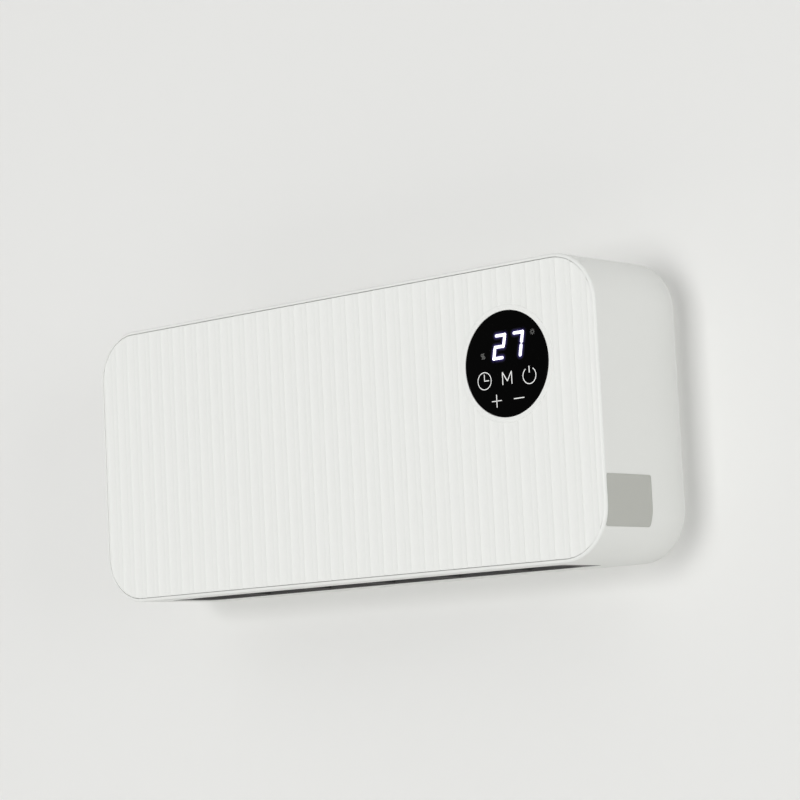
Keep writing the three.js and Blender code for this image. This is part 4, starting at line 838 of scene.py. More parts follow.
@dataclass
class Casing(Assembly):
    """Outer casing, ribbed front panel, rear cover with its screws, and the side label."""

    half: Flat = (225.0, 96.5)
    corner: float = 34.0
    corner_steps: int = 24
    wall: float = 2.2
    front: float = -84.0
    back: float = -3.0
    front_rounding: float = 1.8
    back_rounding: float = 0.12
    inner_front: Flat = (-80.9, -78.9)
    seam: Flat = (0.15, 0.4)
    panel_thickness: float = 2.8
    ribs: int = 39
    rib_pitch: float = 11.88
    first_rib: float = 2.15
    low_rib_place: float = 7.3
    high_rib: float = 0.52
    low_rib: float = 0.16
    hook_places: Flat = (150.0, 86.9)
    hook: Point = (4.5, 0.9, 2.4)
    hook_levels: Point = (-81.5, -78.6, -76.5)
    display: Flat = (152.5, 32.0)
    display_bore: float = 30.3
    disc: float = 33.9
    collar: float = 3.6
    post: Flat = (207.83, 79.33)
    post_radii: Flat = (1.6, 3.5)
    post_levels: Point = (-79.5, -16.7, -5.7)
    keyholes: Flat = (130.0, 50.0)
    keyhole_radii: Flat = (4.6, 2.4)
    keyhole_run: float = 5.0
    outlet: Plan = Plan((170.0, 20.75), 19.0, -48.25)
    bezel_seat: Plan = Plan((176.8, 21.15), 3.2, -48.25)
    bezel_depth: float = 0.95
    intake: Plan = Plan((150.3, 26.0), 4.3, -41.975)
    switch: Flat = (-26.0, -20.0)
    pocket: tuple[Flat, Flat] = ((-224.5, -219.4), (10.6, 13.7))
    recess_floor: float = -221.6
    recess_half: Flat = (8.4, 11.5)
    opening_half: Flat = (6.8, 9.9)
    gland: Flat = (-20.0, -50.0)
    gland_bore: float = 6.3
    cover_levels: tuple[Flat, ...] = (
        (14.4, 0.0), (14.12, -0.12), (14.0, -0.4), (14.0, -2.6), (13.6, -3.0), (0.4, -3.0),
        (0, -3.4), (0, -5.4), (16.4, -5.4), (16.4, -2.4))
    cover_blocks: tuple[tuple[str, Point, Point], ...] = (
        ("duct_rib_left", (-168.8, -5.4, -61.2), (-166.3, -2.1, 63.7)),
        ("duct_rib_right", (166.3, -5.4, -61.2), (168.8, -2.1, 63.7)),
        ("guide_inner", (178.7, -10.4, -56), (180.7, -2.1, 46)),
        ("guide_outer", (182.9, -10.4, -56), (184.9, -2.1, 46)),
        ("terminal_pad", (-207, -5.4, -59), (-185, -2.1, -41)))

    def outline(self, inset: float, y: float) -> list[Point]:
        """Trace the casing's outline, inset from its outside, at one Y."""
        return at_y(rounded_ring((self.half[0] - inset, self.half[1] - inset),
                                 self.corner - inset, steps=self.corner_steps), y)

    def shell(self) -> Piece:
        """Make the casing with its rounded front rim and all its openings.

        Returns:
            The casing.
        """
        wall, front, back = self.wall, self.front, self.back
        rings = [self.outline(wall, self.inner_front[0]), self.outline(wall, front + 0.3),
                 self.outline(wall - 0.12, front + 0.05)]
        for i in range(9):
            angle = i / 8 * math.pi / 2
            rings.append(self.outline(self.front_rounding * (1 - math.sin(angle)),
                                      front + self.front_rounding * (1 - math.cos(angle))))
        rings += [self.outline(0, back - self.back_rounding),
                  self.outline(self.back_rounding, back), self.outline(wall, back),
                  self.outline(wall, self.inner_front[1])]
        shell = loft("casing_shell", rings)
        ends, half = self.pocket
        meet(shell, beam("pocket_wall", ends, self.switch, half), Join.FUSE)
        left, top, bottom = -self.half[0], self.half[1], -self.half[1]
        tools = [
            self.outlet.prism("outlet_opening", bottom - 1, bottom + 4),
            self.bezel_seat.prism("bezel_seat", bottom - 1, bottom + self.bezel_depth),
            self.intake.prism("intake_opening", top - 4, top + 1),
            beam("switch_recess", (left - 1, self.recess_floor), self.switch, self.recess_half),
            beam("switch_opening", (left - 1, left + 7), self.switch, self.opening_half),
            rod("gland_opening", "x", self.gland, self.gland_bore, (left - 1, left + 4), 40),
            rod("display_opening", "y", self.display, self.display_bore, (front + 2, front + 7)),
            Label(self.finishes, self.repeats).skin("label_pocket", 0.25, 0.4, 1.0)]
        for tool in tools:
            meet(shell, tool, Join.CUT)
        bore, radius = self.post_radii
        foot, step, end = self.post_levels
        post = [(bore, step), (radius, step), (radius, end), (bore, end), (bore, step)]
        pillar = [(0, foot), (radius, foot), (radius, step), (0, step)]
        places = [(a * self.post[0], b * self.post[1])
                  for a, b in ((-1, -1), (1, -1), (1, 1), (-1, 1))]
        supports = [turned("support", "y", place, profile, 24)
                    for profile in (post, pillar) for place in places]
        return joined("casing", [shell, *supports])

    def panel(self) -> Piece:
        """Make the front panel: ribs by rule, trimmed to the outline, with the disc's collar.

        Returns:
            The panel.
        """
        front, back = self.front, self.front + self.panel_thickness
        half_x = self.half[0] - self.wall - self.seam[0]
        half_z = self.half[1] - self.wall - self.seam[1]
        corner = self.corner - self.wall - self.seam[1]
        panel = grown(mesh_piece("front_panel_ribbed", [], []), self.repeats.flutes, {
            "Flutes": self.ribs, "Start": (-half_x + self.first_rib - self.rib_pitch) * MM,
            "Pitch": self.rib_pitch * MM, "Low Ridge At": self.low_rib_place * MM,
            "High Ridge": self.high_rib * MM, "Low Ridge": self.low_rib * MM,
            "Height": 2 * (half_z + 2) * MM, "Front": front * MM, "Back": back * MM,
            "Material": self.finishes.panel_abs})
        outwards(panel)
        # The edge falls 0.6 mm over a wider run above and below than at the sides.
        side_run, end_run, corner_run, fall = 0.2, 1.1, 0.65, 0.6
        rings = []
        for i in range(7):
            angle = i / 6 * math.pi / 2
            inset = 1 - math.sin(angle)
            rings.append(at_y(rounded_ring((half_x - side_run * inset, half_z - end_run * inset),
                                           corner - corner_run * inset, steps=28),
                              front - 0.02 + fall * (1 - math.cos(angle))))
        rings.append(at_y(rounded_ring((half_x, half_z), corner, steps=28), front + 4))
        meet(panel, loft("panel_outline", rings), Join.KEEP_COMMON)
        inner, outer = self.disc + 0.05, self.disc + self.collar
        meet(panel, rod("collar_bore", "y", self.display, outer - 0.1, (front - 2, front + 5), 128),
             Join.CUT)
        collar = turned("collar", "y", self.display, [
            (inner + 0.35, front), (outer - 0.4, front), (outer - 0.12, front + 0.12),
            (outer, front + 0.4), (outer, back), (inner, back), (inner, front + 0.35),
            (inner + 0.1, front + 0.1), (inner + 0.35, front)], 160)
        hooks = []
        half, thick, lip = self.hook
        foot, step, end = self.hook_levels
        for side in (-1, 1):
            for column in (-1, 0, 1):
                x, z = self.hook_places[0] * column, side * self.hook_places[1]
                hooks += [block("shank", (x - half, foot, z - thick), (x + half, end, z + thick)),
                          block("lip", (x - half, step, z), (x + half, end, z + lip))]
        return joined("panel", [panel, collar, *hooks])

    def cover(self) -> Piece:
        """Make the rear cover with its raised middle, keyholes and screw holes.

        Returns:
            The cover.
        """
        edge = self.wall + 0.3
        cover = loft("cover", [self.outline(edge + inset, y) for inset, y in self.cover_levels])
        across, low = self.keyholes
        entry, slot = self.keyhole_radii
        for x in (-across, across):
            meet(cover, rod("keyhole_entry", "y", (x, low), entry, (1, -4), 40), Join.CUT)
            run = self.keyhole_run
            around = rounded_ring((slot, slot + run), slot, (x, low + run), 8)
            meet(cover, prism("keyhole_slot", around, 1, -4), Join.CUT)
        for a in (-1, 1):
            for b in (-1, 1):
                place = (a * self.post[0], b * self.post[1])
                hole = rod("screw_hole", "y", place, self.post_radii[0], (1, -7), 24)
                meet(cover, hole, Join.CUT)
        return joined("back_cover", [cover, *(block(*part) for part in self.cover_blocks)])

    def build(self) -> None:
        """Make and dress the casing's pieces."""
        finishes = self.finishes
        dress(self.shell(), finishes.casing_abs, "casing", ["outer_casing"])
        dress(self.panel(), finishes.panel_abs, "casing", ["front_panel"], sharp=18)
        dress(self.cover(), finishes.casing_abs, "casing", ["rear_cover"])
        Screws(self.repeats, finishes.zinc).rows(
            "cover_screws", "y", (0, -2.7, 0), 11, (2, (2 * self.post[0], 0, 0)),
            (2, (0, 0, 2 * self.post[1])), [f"cover_screw_{i}" for i in range(1, 5)])
        Label(finishes, self.repeats).build()


@dataclass
class Label(Assembly):
    """A blank label that follows the casing's right side round the lower corner."""

    bend: Flat = (191.0, -62.5)
    bend_radius: float = 34.0
    straight: float = 18.5
    bent_height: float = 13.5
    rounding: float = 1.5
    front: float = -82.0
    back: float = -37.0

    def skin(self, name: str, growth: float, inner: float, outer: float) -> Piece:
        """Make a curved plate on the casing's lower right corner.

        Args:
            name: The object's name.
            growth: How far it reaches past the label's outline.
            inner: How far its back lies inside the casing's surface.
            outer: How far its face lies outside it.

        Returns:
            The plate.
        """
        radius = self.bend_radius
        straight = self.straight + growth
        arc = radius * math.asin(self.bent_height / radius) + growth
        rounding = self.rounding + growth
        low, high = self.front - growth, self.back + growth
        places = [(arc * i / 8, 0.0) for i in range(8)]
        for i in range(7):
            run = rounding * math.sin(i / 6 * math.pi / 2)
            rise = rounding * (1 - math.cos(i / 6 * math.pi / 2))
            places += [(rise - straight, rounding - run), (arc - rounding + run, rise)]
        rings = []
        for place, narrow in sorted(places):
            angle = max(place, 0) / radius
            ring = []
            for y, reach in ((low + narrow, outer), (high - narrow, outer),
                             (high - narrow, -inner), (low + narrow, -inner)):
                ring.append((self.bend[0] + (radius + reach) * math.cos(angle), y, self.bend[1]
                             - min(place, 0) - (radius + reach) * math.sin(angle)))
            rings.append(ring)
        return loft(name, rings)

    def build(self) -> None:
        """Make and dress the label."""
        dress(self.skin("side_label", 0.0, 0.35, -0.02), self.finishes.label, "casing",
              ["rating_label"])


@dataclass
class Screws:
    """Pan-head screws with a cross recess, set in rows."""

    repeats: Repeats
    finish: Material
    shank: float = 1.3
    head: float = 3.05
    rise: float = 1.95
    thread: float = 1.1
    recess: Flat = (0.35, 1.7)
    recess_depth: float = 1.1

    def one(self, axis: str, length: float) -> Piece:
        """Make a screw that seats at zero, with its head towards +Y or towards -X.

        Args:
            axis: The screw's axis, y or x.
            length: Length of the shank.

        Returns:
            The screw at the origin.
        """
        side = 1 if axis == "y" else -1
        shank, head, rise = self.shank, self.head, self.rise
        profile = [(0, rise), (head * 0.45, rise * 0.95), (head * 0.8, rise * 0.72),
                   (head, rise * 0.3), (head, 0.0), (shank, 0.0)]
        for i in range(int(length / self.thread)):
            profile += [(shank, -0.35 - self.thread * i), (shank * 0.78, -0.7 - self.thread * i)]
        profile += [(shank * 0.7, -length + 0.6), (0, -length)]
        screw = turned("screw", axis, (0, 0), [(radius, side * y) for radius, y in profile], 20)
        low, high = sorted((side * (rise - self.recess_depth), side * (rise + 1)))
        for a, b in (self.recess, self.recess[::-1]):
            if axis == "y":
                tool = block("recess", (-a, low, -b), (a, high, b))
            else:
                tool = block("recess", (low, -a, -b), (high, a, b))
            meet(screw, tool, Join.CUT)
        return screw

    def rows(self, name: str, axis: str, centre: Point, length: float,
             columns: tuple[int, Point], rows: tuple[int, Point],
             stands_for: list[str]) -> Piece:
        """Repeat the screw in rows as one piece.

        Args:
            name: The piece's name.
            axis: The screws' axis.
            centre: The middle of the pattern.
            length: Length of the shanks.
            columns: Number of columns and the step from one to the next.
            rows: Number of rows and the step from one to the next.
            stands_for: The CAD nodes that it replaces.

        Returns:
            The piece.
        """
        screw = self.one(axis, length)
        screw.name = name
        self.repeats.in_rows(screw, self.finish, centre, columns, rows)
        return dress(screw, self.finish, "casing", stands_for)


@dataclass
class Display(Assembly):
    """Black acrylic disc with lit digits and touch icons, and what lies behind it."""

    centre: Flat = (152.5, 32.0)
    radius: float = 33.9
    front: float = -84.0
    back: float = -81.2
    relief: float = 0.03
    patch: float = 0.15
    figures: tuple[tuple[Flat, str], ...] = (((-5.1, 11.3), "abged"), ((9.4, 11.35), "abc"))
    level_width: float = 1.9
    upright_width: float = 2.2
    halo_reaches: tuple[float, ...] = (0.6, 1.2, 2.0)
    halo_step: float = 0.007
    keys: tuple[Flat, ...] = ((-19, -9), (18, -9.5), (-10, -22.5), (8.5, -22.5), (0, -11))
    spring_seat: float = -80.7
    spring_radius: float = 2.6
    spring_wire: float = 0.3
    spring_length: float = 3.6
    spring_turns: float = 5.0
    screw_reach: float = 3.4
    screw_angle: float = 25.0

    def plate(self, name: str, outline: list[Flat], sunk: float = 0.0) -> Piece:
        """Make one thin patch that lies in the disc's face.

        Args:
            name: The patch's name.
            outline: Its outline, measured from the disc's centre.
            sunk: How far its face lies behind the brightest patches.

        Returns:
            The patch.
        """
        placed = [(self.centre[0] + a, self.centre[1] + b) for a, b in outline]
        return prism(name, placed, self.front + sunk, self.front + self.patch)

    def stroke(self, name: str, start: Flat, end: Flat, width: float,
               round_ends: bool = False, sunk: float = 0.0) -> Piece:
        """Make a straight stroke.

        Args:
            name: The stroke's name.
            start: One end of its middle line, measured from the disc's centre.
            end: The other end.
            width: Its width.
            round_ends: Whether half circles close its ends.
            sunk: How far its face lies behind the brightest patches.

        Returns:
            The stroke.
        """
        along = math.atan2(end[1] - start[1], end[0] - start[0])
        steps = 6 if round_ends else 1
        outline = []
        for (x, y), first in ((end, along - math.pi / 2), (start, along + math.pi / 2)):
            for i in range(steps + 1):
                turn = first + math.pi * i / steps
                outline.append((x + width / 2 * math.cos(turn), y + width / 2 * math.sin(turn)))
        return self.plate(name, outline, sunk)

    def arc(self, name: str, middle: Flat, radius: float, width: float,
            span: Flat = (0, 360)) -> Piece:
        """Make a curved stroke, or a whole ring.

        Args:
            name: The stroke's name.
            middle: Its centre, measured from the disc's centre.
            radius: Radius of its middle line.
            width: Its width.
            span: Its first and last angle in degrees.

        Returns:
            The stroke.
        """
        steps = max(int((span[1] - span[0]) / 6), 4)
        sections = []
        outer, inner = radius + width / 2, radius - width / 2
        for i in range(steps + 1):
            angle = math.radians(span[0] + (span[1] - span[0]) * i / steps)
            sections.append([(self.centre[0] + middle[0] + reach * math.cos(angle),
                              self.front + depth,
                              self.centre[1] + middle[1] + reach * math.sin(angle))
                             for reach, depth in ((outer, 0.0), (inner, 0.0),
                                                  (inner, self.patch), (outer, self.patch))])
        whole = span[1] - span[0] == 360
        return loft(name, sections[:-1] if whole else sections, endless=whole)

    def digits(self, name: str, growth: float = 0.0, sunk: float = 0.0) -> Piece:
        """Draw the two seven-segment digits, a two and a seven.

        Args:
            name: The piece's name.
            growth: How far each segment is grown, for the stray light around it.
            sunk: How far the piece's face lies behind the lit segments.

        Returns:
            The digits as one piece.
        """
        x, z, slant, gap = 3.5, 7.15, 0.2, 1.25
        lines = {"a": ((-x, z), (x, z)), "b": ((x, z), (x, gap)), "c": ((x, -gap), (x, -z)),
                 "d": ((-x, -z), (x, -z)), "e": ((-x, -gap), (-x, -z)), "g": ((-x, 0), (x, 0))}
        pieces = []
        for middle, lit in self.figures:
            for letter in lit:
                ends = [(middle[0] + a + b * slant, middle[1] + b) for a, b in lines[letter]]
                width = self.level_width if letter in "adg" else self.upright_width
                pieces.append(self.stroke(f"segment_{letter}", *ends, width + 2 * growth, True,
                                          sunk))
        return joined(name, pieces)

    def icons(self) -> Piece:
        """Draw the touch icons: clock, mode, power, plus and minus.

        Returns:
            The icons as one piece.
        """
        clock, power, plus, minus = (-18.6, -9.1), (18.0, -9.6), (-9.4, -22.8), (8.8, -22.85)
        left, right, low, high, valley = -3.75, 3.65, -13.2, -5.05, -11.1
        return joined("touch_icons", [
            self.arc("clock_face", clock, 5.45, 0.52),
            self.stroke("clock_minutes", clock, (clock[0], clock[1] + 4.2), 0.55),
            self.stroke("clock_hours", (clock[0] - 0.3, clock[1]), (clock[0] + 3.7, clock[1]),
                        0.55),
            self.stroke("mode_left", (left, low), (left, high), 0.62),
            self.stroke("mode_down", (left, high), (0, valley), 0.62),
            self.stroke("mode_up", (0, valley), (right, high), 0.62),
            self.stroke("mode_right", (right, high), (right, low), 0.62),
            self.arc("power_ring", power, 5.2, 0.55, (124, 416)),
            self.stroke("power_bar", (power[0], power[1] + 1.8), (power[0], power[1] + 6.0), 0.7),
            self.stroke("plus_across", (plus[0] - 4.1, plus[1]), (plus[0] + 4.1, plus[1]), 0.5),
            self.stroke("plus_up", (plus[0], plus[1] - 4.1), (plus[0], plus[1] + 4.1), 0.6),
            self.stroke("minus", (minus[0] - 4.2, minus[1]), (minus[0] + 4.2, minus[1]), 0.6)])

    def dim_icons(self) -> Piece:
        """Draw the two dim icons: a small sun and rising warm air.

        Returns:
            The icons as one piece.
        """
        sun, air = (22.2, 17.5), (-19.0, 6.8)
        pieces = [self.arc("sun_disc", sun, 1.05, 0.4)]
        for i in range(8):
            a, b = math.cos(math.radians(45 * i)), math.sin(math.radians(45 * i))
            pieces.append(self.stroke(f"sun_ray_{i}", (sun[0] + 1.5 * a, sun[1] + 1.5 * b),
                                      (sun[0] + 2.0 * a, sun[1] + 2.0 * b), 0.3))
        for i in (-1, 0, 1):
            x, z = air[0] + 0.95 * i, air[1]
            pieces += [self.arc(f"air_low_{i}", (x - 0.25, z - 0.95), 0.95, 0.42, (-70, 62)),
                       self.arc(f"air_high_{i}", (x + 0.6, z + 0.75), 0.95, 0.42, (110, 242))]
        return joined("dim_icons", pieces)

    def build(self) -> None:
        """Make and dress the display's pieces."""
        finishes, front = self.finishes, self.front + self.relief
        lens = turned("display_disc", "y", self.centre, [
            (0, front), (self.radius - 0.9, front), (self.radius - 0.45, front + 0.08),
            (self.radius - 0.12, front + 0.34), (self.radius, front + 0.8),
            (self.radius, self.back), (0, self.back)], 160)
        dress(lens, finishes.acrylic, "casing", ["display_lens"])
        lit = [(self.digits("lit_digits"), finishes.digit_light),
               (self.icons(), finishes.icon_light), (self.dim_icons(), finishes.dim_light)]
        for i, (growth, material) in enumerate(zip(self.halo_reaches, finishes.halos), 1):
            lit.append((self.digits(f"stray_light_{i}", growth, self.halo_step * i), material))
        for piece, material in lit:
            dress(piece, material, "casing")
        feet = bpy.data.meshes.new("contact_springs")
        feet.from_pydata([Vector((self.centre[0] + x, self.spring_seat, self.centre[1] + z)) * MM
                          for x, z in self.keys], [], [])
        springs = bpy.data.objects.new("contact_springs", feet)
        bpy.context.scene.collection.objects.link(springs)
        grown(springs, self.repeats.coils, {
            "Radius": self.spring_radius * MM, "Wire": self.spring_wire * MM,
            "Length": self.spring_length * MM, "Turns": self.spring_turns,
            "Material": finishes.zinc})
        dress(springs, finishes.zinc, "casing", [f"touch_spring_{i}" for i in range(1, 6)])
        reach, angle = self.radius + self.screw_reach, math.radians(self.screw_angle)
        apart = (2 * reach * math.cos(angle), 0, -2 * reach * math.sin(angle))
        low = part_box("display_screw_1")[1].y / MM
        screws = Screws(self.repeats, finishes.zinc)
        screws.rows("display_screws", "y", (self.centre[0], low - screws.rise, self.centre[1]), 8,
                    (2, apart), (1, (0, 0, 0)), ["display_screw_1", "display_screw_2"])
        recoat(finishes.natural_abs, "display_carrier", "digit_block")
        recoat(finishes.board, "display_board")
        recoat(finishes.acrylic, "infrared_receiver")


@dataclass
class Fan(Assembly):
    """Cross-flow rotor, its motor and its end bearing."""

    centre: Flat = (-40.2, 28.0)
    radius: float = 23.0
    half: float = 163.0
    blades: int = 32
    blade_depth: float = 6.0
    blade_lean: float = 0.31
    discs: int = 7
    disc_bore: float = 15.5
    hub: float = 7.0
    hub_length: float = 13.5
    shaft_bore: float = 2.8

    def blade(self) -> Piece:
        """Make one curved blade, as long as the rotor, about a line through the origin.

        Returns:
            The blade.
        """
        depth, inside = self.blade_depth, self.radius - self.blade_depth
        line = [(inside + depth * i / 4, self.blade_lean * (i / 4) ** 1.4) for i in range(5)]
        outer, inner = [], []
        for reach, lean in line:
            thick = 0.45 - 0.2 * (reach - inside) / depth
            for side, edge in ((1, outer), (-1, inner)):
                angle = lean + side * thick / reach
                edge.append(((reach - 0.15) * math.cos(angle), (reach - 0.15) * math.sin(angle)))
        section = outer + inner[::-1]
        return loft("rotor_blades", [[(x, a, b) for a, b in section]
                                     for x in (-self.half + 0.4, self.half - 0.4)])

    def build(self) -> None:
        """Make and dress the fan's pieces."""
        finishes = self.finishes
        middle = (0, *self.centre)
        blades = grown(self.blade(), self.repeats.circle, {
            "Count": self.blades, "Centre": Vector(middle) * MM, "Material": finishes.dark_abs})
        bore, radius = self.disc_bore, self.radius
        disc = turned("rotor_disc", "x", (0, 0), [
            (bore, -0.8), (radius - 0.3, -0.8), (radius, -0.5), (radius, 0.5), (radius - 0.3, 0.8),
            (bore, 0.8), (bore, -0.8)], 72)
        step = 2 * (self.half - 0.9) / (self.discs - 1)
        discs = self.repeats.in_rows(disc, finishes.dark_abs, middle, (self.discs, (step, 0, 0)))
        end, start = self.half, self.half - self.hub_length
        hub = [(0, start), (self.hub - 0.5, start), (self.hub, start + 0.5), (self.hub, end),
               (self.shaft_bore, end), (self.shaft_bore, start + 1.5), (0, start + 1.5)]
        web = [(6, end - 0.1), (16, end - 0.1), (16, end - 1.6), (6, end - 1.6), (6, end - 0.1)]
        hubs = [turned("hub", "x", self.centre, [(r, sign * x) for r, x in profile], 40)
                for sign in (-1, 1) for profile in (hub, web)]
        rotor = joined("cross_flow_rotor", [blades, discs, *hubs])
        dress(rotor, finishes.dark_abs, "rotor", ["fan_rotor"])
        boxes = [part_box(name) for name in ("motor_screw_1", "motor_screw_2")]
        x = boxes[0][0].x / MM
        foot, top = sorted((low.z + high.z) / 2 / MM for low, high in boxes)
        screws = Screws(self.repeats, finishes.zinc)
        screws.rows("motor_screws", "x", (x + screws.rise + 0.05, self.centre[0], (top + foot) / 2),
                    11, (1, (0, 0, 0)), (2, (0, 0, top - foot)),
                    ["motor_screw_1", "motor_screw_2"])
        recoat(finishes.galvanised, "fan_motor")
        recoat(finishes.zinc, "motor_shaft", "rotor_pin")
        recoat(finishes.bronze, "end_bearing")
        recoat(finishes.epdm, "bearing_rubber")


@dataclass
class HeatingBank(Assembly):
    """Aluminium bars with folded fins between them, in their holders."""

    pitch: float = 3.2
    sheet: float = 0.3

    def build(self) -> None:
        """Make the folded fins and dress the bank's pieces."""
        finishes = self.finishes
        for row in ("front", "rear"):
            low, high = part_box(f"heater_fins_{row}")
            left, right = low.x / MM, high.x / MM
            folds = int((right - left - 2) / self.pitch)
            fins = grown(mesh_piece(f"folded_fins_{row}", [], []), self.repeats.folds, {
                "Folds": folds, "Start": ((left + right) / 2 - folds * self.pitch / 2) * MM,
                "Pitch": self.pitch * MM, "Low": low.y + self.sheet / 2 * MM,
                "High": high.y - self.sheet / 2 * MM, "Level": (low.z + high.z) / 2,
                "Thickness": self.sheet * MM, "Height": high.z - low.z,
                "Material": finishes.aluminium})
            dress(outwards(fins), finishes.aluminium, "casing",
                  [f"heater_fins_{row}"])
        recoat(finishes.aluminium, "heater_bar_front", "heater_bar_middle", "heater_bar_rear")
        recoat(finishes.pbt, "left_heater_holder", "right_heater_holder")
        recoat(finishes.zinc, "thermostat", "thermal_fuse")


@dataclass
class Outlet(Assembly):
    """Dark outlet frame with upright guards and its bezel, the louver and its motor."""

    plan: Plan = Plan((169.7, 20.45), 18.7, -48.25, 24)
    mouth: float = -96.1
    flange: Flat = (-93.95, -92.0)
    top: float = -64.0
    wall: float = 2.0
    pin_bore: float = 2.3
    guards: int = 5
    guard_pitch: float = 59.0
    guard_half: Point = (0.9, 19.5, 2.75)
    bezel_plan: Plan = Plan((176.5, 20.9), 3.0, -48.25, 24)
    vane_half: float = 156.9
    vane_half_height: float = 10.5
    vane_thickness: float = 1.8
    vane_bow: float = 1.2
    pin: float = 2.0

    def bezel(self) -> Piece:
        """Make the thin dark plate round the mouth, longer than it and nearly square-cornered.

        Returns:
            The plate.
        """
        back, face = self.mouth + 0.5, self.mouth - 0.35
        outside = [(0, back), (0, face + 0.2), (-0.06, face + 0.06), (-0.2, face)]
        inside = [(-0.2, face), (-0.35, face + 0.12), (-0.4, back)]
        rings = [plan.ring(*level) for plan, levels in ((self.bezel_plan, outside),
                                                        (self.plan, inside)) for level in levels]
        return loft("bezel", rings, endless=True)

    def frame_piece(self) -> Piece:
        """Make the frame: a flared mouth, its sleeve and flange, the bezel and the guards.

        Returns:
            The frame.
        """
        low, high, wall = self.mouth, self.top, self.wall
        under, over = self.flange
        levels = [(-0.5, low), (-0.1, low + 0.15), (0, low + 0.5), (0, under), (3.6, under),
                  (4.0, under + 0.35), (4.0, over - 0.4), (3.6, over), (0, over), (0, high),
                  (-wall, high), (-wall, low + 1.2), (-1.5, low + 0.3), (-1.2, low)]
        sleeve = loft("frame_sleeve", [self.plan.ring(*level) for level in levels], endless=True)
        pins = (self.plan.centre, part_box("louver_shaft")[0].z / MM + 2.0)
        meet(sleeve, rod("pin_bore", "x", pins, self.pin_bore, (-180, 180), 32), Join.CUT)
        half = self.guard_half
        guard = softened(block("guards", tuple(-side for side in half), half), 0.5, 3)
        self.repeats.in_rows(guard, self.finishes.dark_abs, (0, self.plan.centre, low + half[2]),
                             (self.guards, (self.guard_pitch, 0, 0)))
        return joined("outlet_mouth", [sleeve, self.bezel(), guard])

    def louver(self) -> Piece:
        """Make the louver: a shallow curved vane with round edges and its two pins.

        Returns:
            The louver.
        """
        low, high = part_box("outlet_louver")
        level, centre = (low.z + high.z) / 2 / MM, self.plan.centre
        left, right = [], []
        for i in range(21):
            t = -1 + i / 10
            # The last tenth of each half is rounded off.
            rounded = math.sqrt(max(1 - max(abs(t) - 0.9, 0) ** 2 / 0.01, 0.0))
            here = self.vane_thickness / 2 * rounded
            y, z = centre - self.vane_bow * t * t, level + t * self.vane_half_height
            left.append((y - here, z))
            right.append((y + here, z))
        section = left + right[::-1]
        span = self.vane_half
        vane = loft("vane", [[(x, centre + (a - centre) * share, b) for a, b in section]
                             for x, share in ((-span, 0.75), (-span + 0.5, 1.0),
                                              (span - 0.5, 1.0), (span, 0.75))])
        start, end, pin = low.x / MM, high.x / MM, self.pin
        pins = turned("pins", "x", (centre, level), [
            (0, start), (pin - 0.3, start), (pin, start + 0.3), (pin, end - 0.3),
            (pin - 0.3, end), (0, end)], 32)
        return joined("air_louver", [vane, pins])

    def build(self) -> None:
        """Make and dress the outlet's pieces."""
        finishes = self.finishes
        dress(self.frame_piece(), finishes.dark_abs, "casing", ["outlet_frame"])
        dress(self.louver(), finishes.dark_abs, "louver", ["outlet_louver"])
        recoat(finishes.galvanised, "louver_motor")
        recoat(finishes.zinc, "louver_shaft")


@dataclass
class Intake(Assembly):
    """Slotted grille in the top with the dust net under it. Both lift out together."""

    plan: Plan = Plan((150.0, 25.725), 4.0, -41.975, 8)
    top: float = 96.5
    floor: float = 88.0
    slots: int = 29
    slot_pitch: float = 10.0
    slot: Plan = Plan((1.7, 18.725), 1.65, 0, 6)
    net_corner: float = 1.7
    net_rim: float = 1.2
    net_half_thickness: float = 0.6
    strand: float = 0.18
    strand_pitch: float = 2.0
    strands: tuple[int, int] = (146, 22)

    def grille(self) -> Piece:
        """Make the grille with its lip and its slots.

        Returns:
            The grille.
        """
        top, floor = self.top, self.floor
        levels = [(-0.4, top), (-0.1, top - 0.12), (0, top - 0.45), (0, floor), (-3.5, floor),
                  (-3.5, floor + 1.5), (-2.0, floor + 1.5), (-2.0, top - 2.2), (-3.9, top - 2.2)]
        grille = loft("top_grille", [self.plan.ring(*level) for level in levels])
        slots = self.slot.prism("slots", -2, 2)
        self.repeats.in_rows(slots, self.finishes.casing_abs, (0, self.plan.centre, top - 1),
                             (self.slots, (self.slot_pitch, 0, 0)))
        return meet(grille, slots, Join.CUT)

    def net(self) -> Piece:
        """Make the woven net in its rim. Its strands are coarser than real, so that they show.

        Returns:
            The net.
        """
        low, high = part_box("dust_filter")
        half_x, half_y = (high.x - low.x) / MM / 2, (high.y - low.y) / MM / 2
        level, centre = (low.z + high.z) / 2 / MM, self.plan.centre
        thick, rim, thin = self.net_half_thickness, self.net_rim, self.strand
        ring = loft("rim", [at_z(rounded_ring((half_x - g, half_y - g), self.net_corner,
                                              (0, centre), 6), z)
                            for g, z in ((0, level - thick), (0, level + thick),
                                         (rim, level + thick), (rim, level - thick))],
                    endless=True)
        net, pitch = [ring], self.strand_pitch
        for name, count, reach, step in (
                ("warp", self.strands[0], (thin, half_y - rim / 2, thin), (pitch, 0, 0)),
                ("weft", self.strands[1], (half_x - rim / 2, thin, thin), (0, pitch, 0))):
            strand = block(name, tuple(-r for r in reach), reach)
            net.append(self.repeats.in_rows(strand, self.finishes.net, (0, centre, level),
                                            (count, step)))
        return joined("dust_net", net)

    def build(self) -> None:
        """Make and dress the grille and its net."""
        finishes = self.finishes
        dress(self.grille(), finishes.casing_abs, "filter", ["intake_grille"])
        dress(self.net(), finishes.net, "filter", ["dust_filter"])


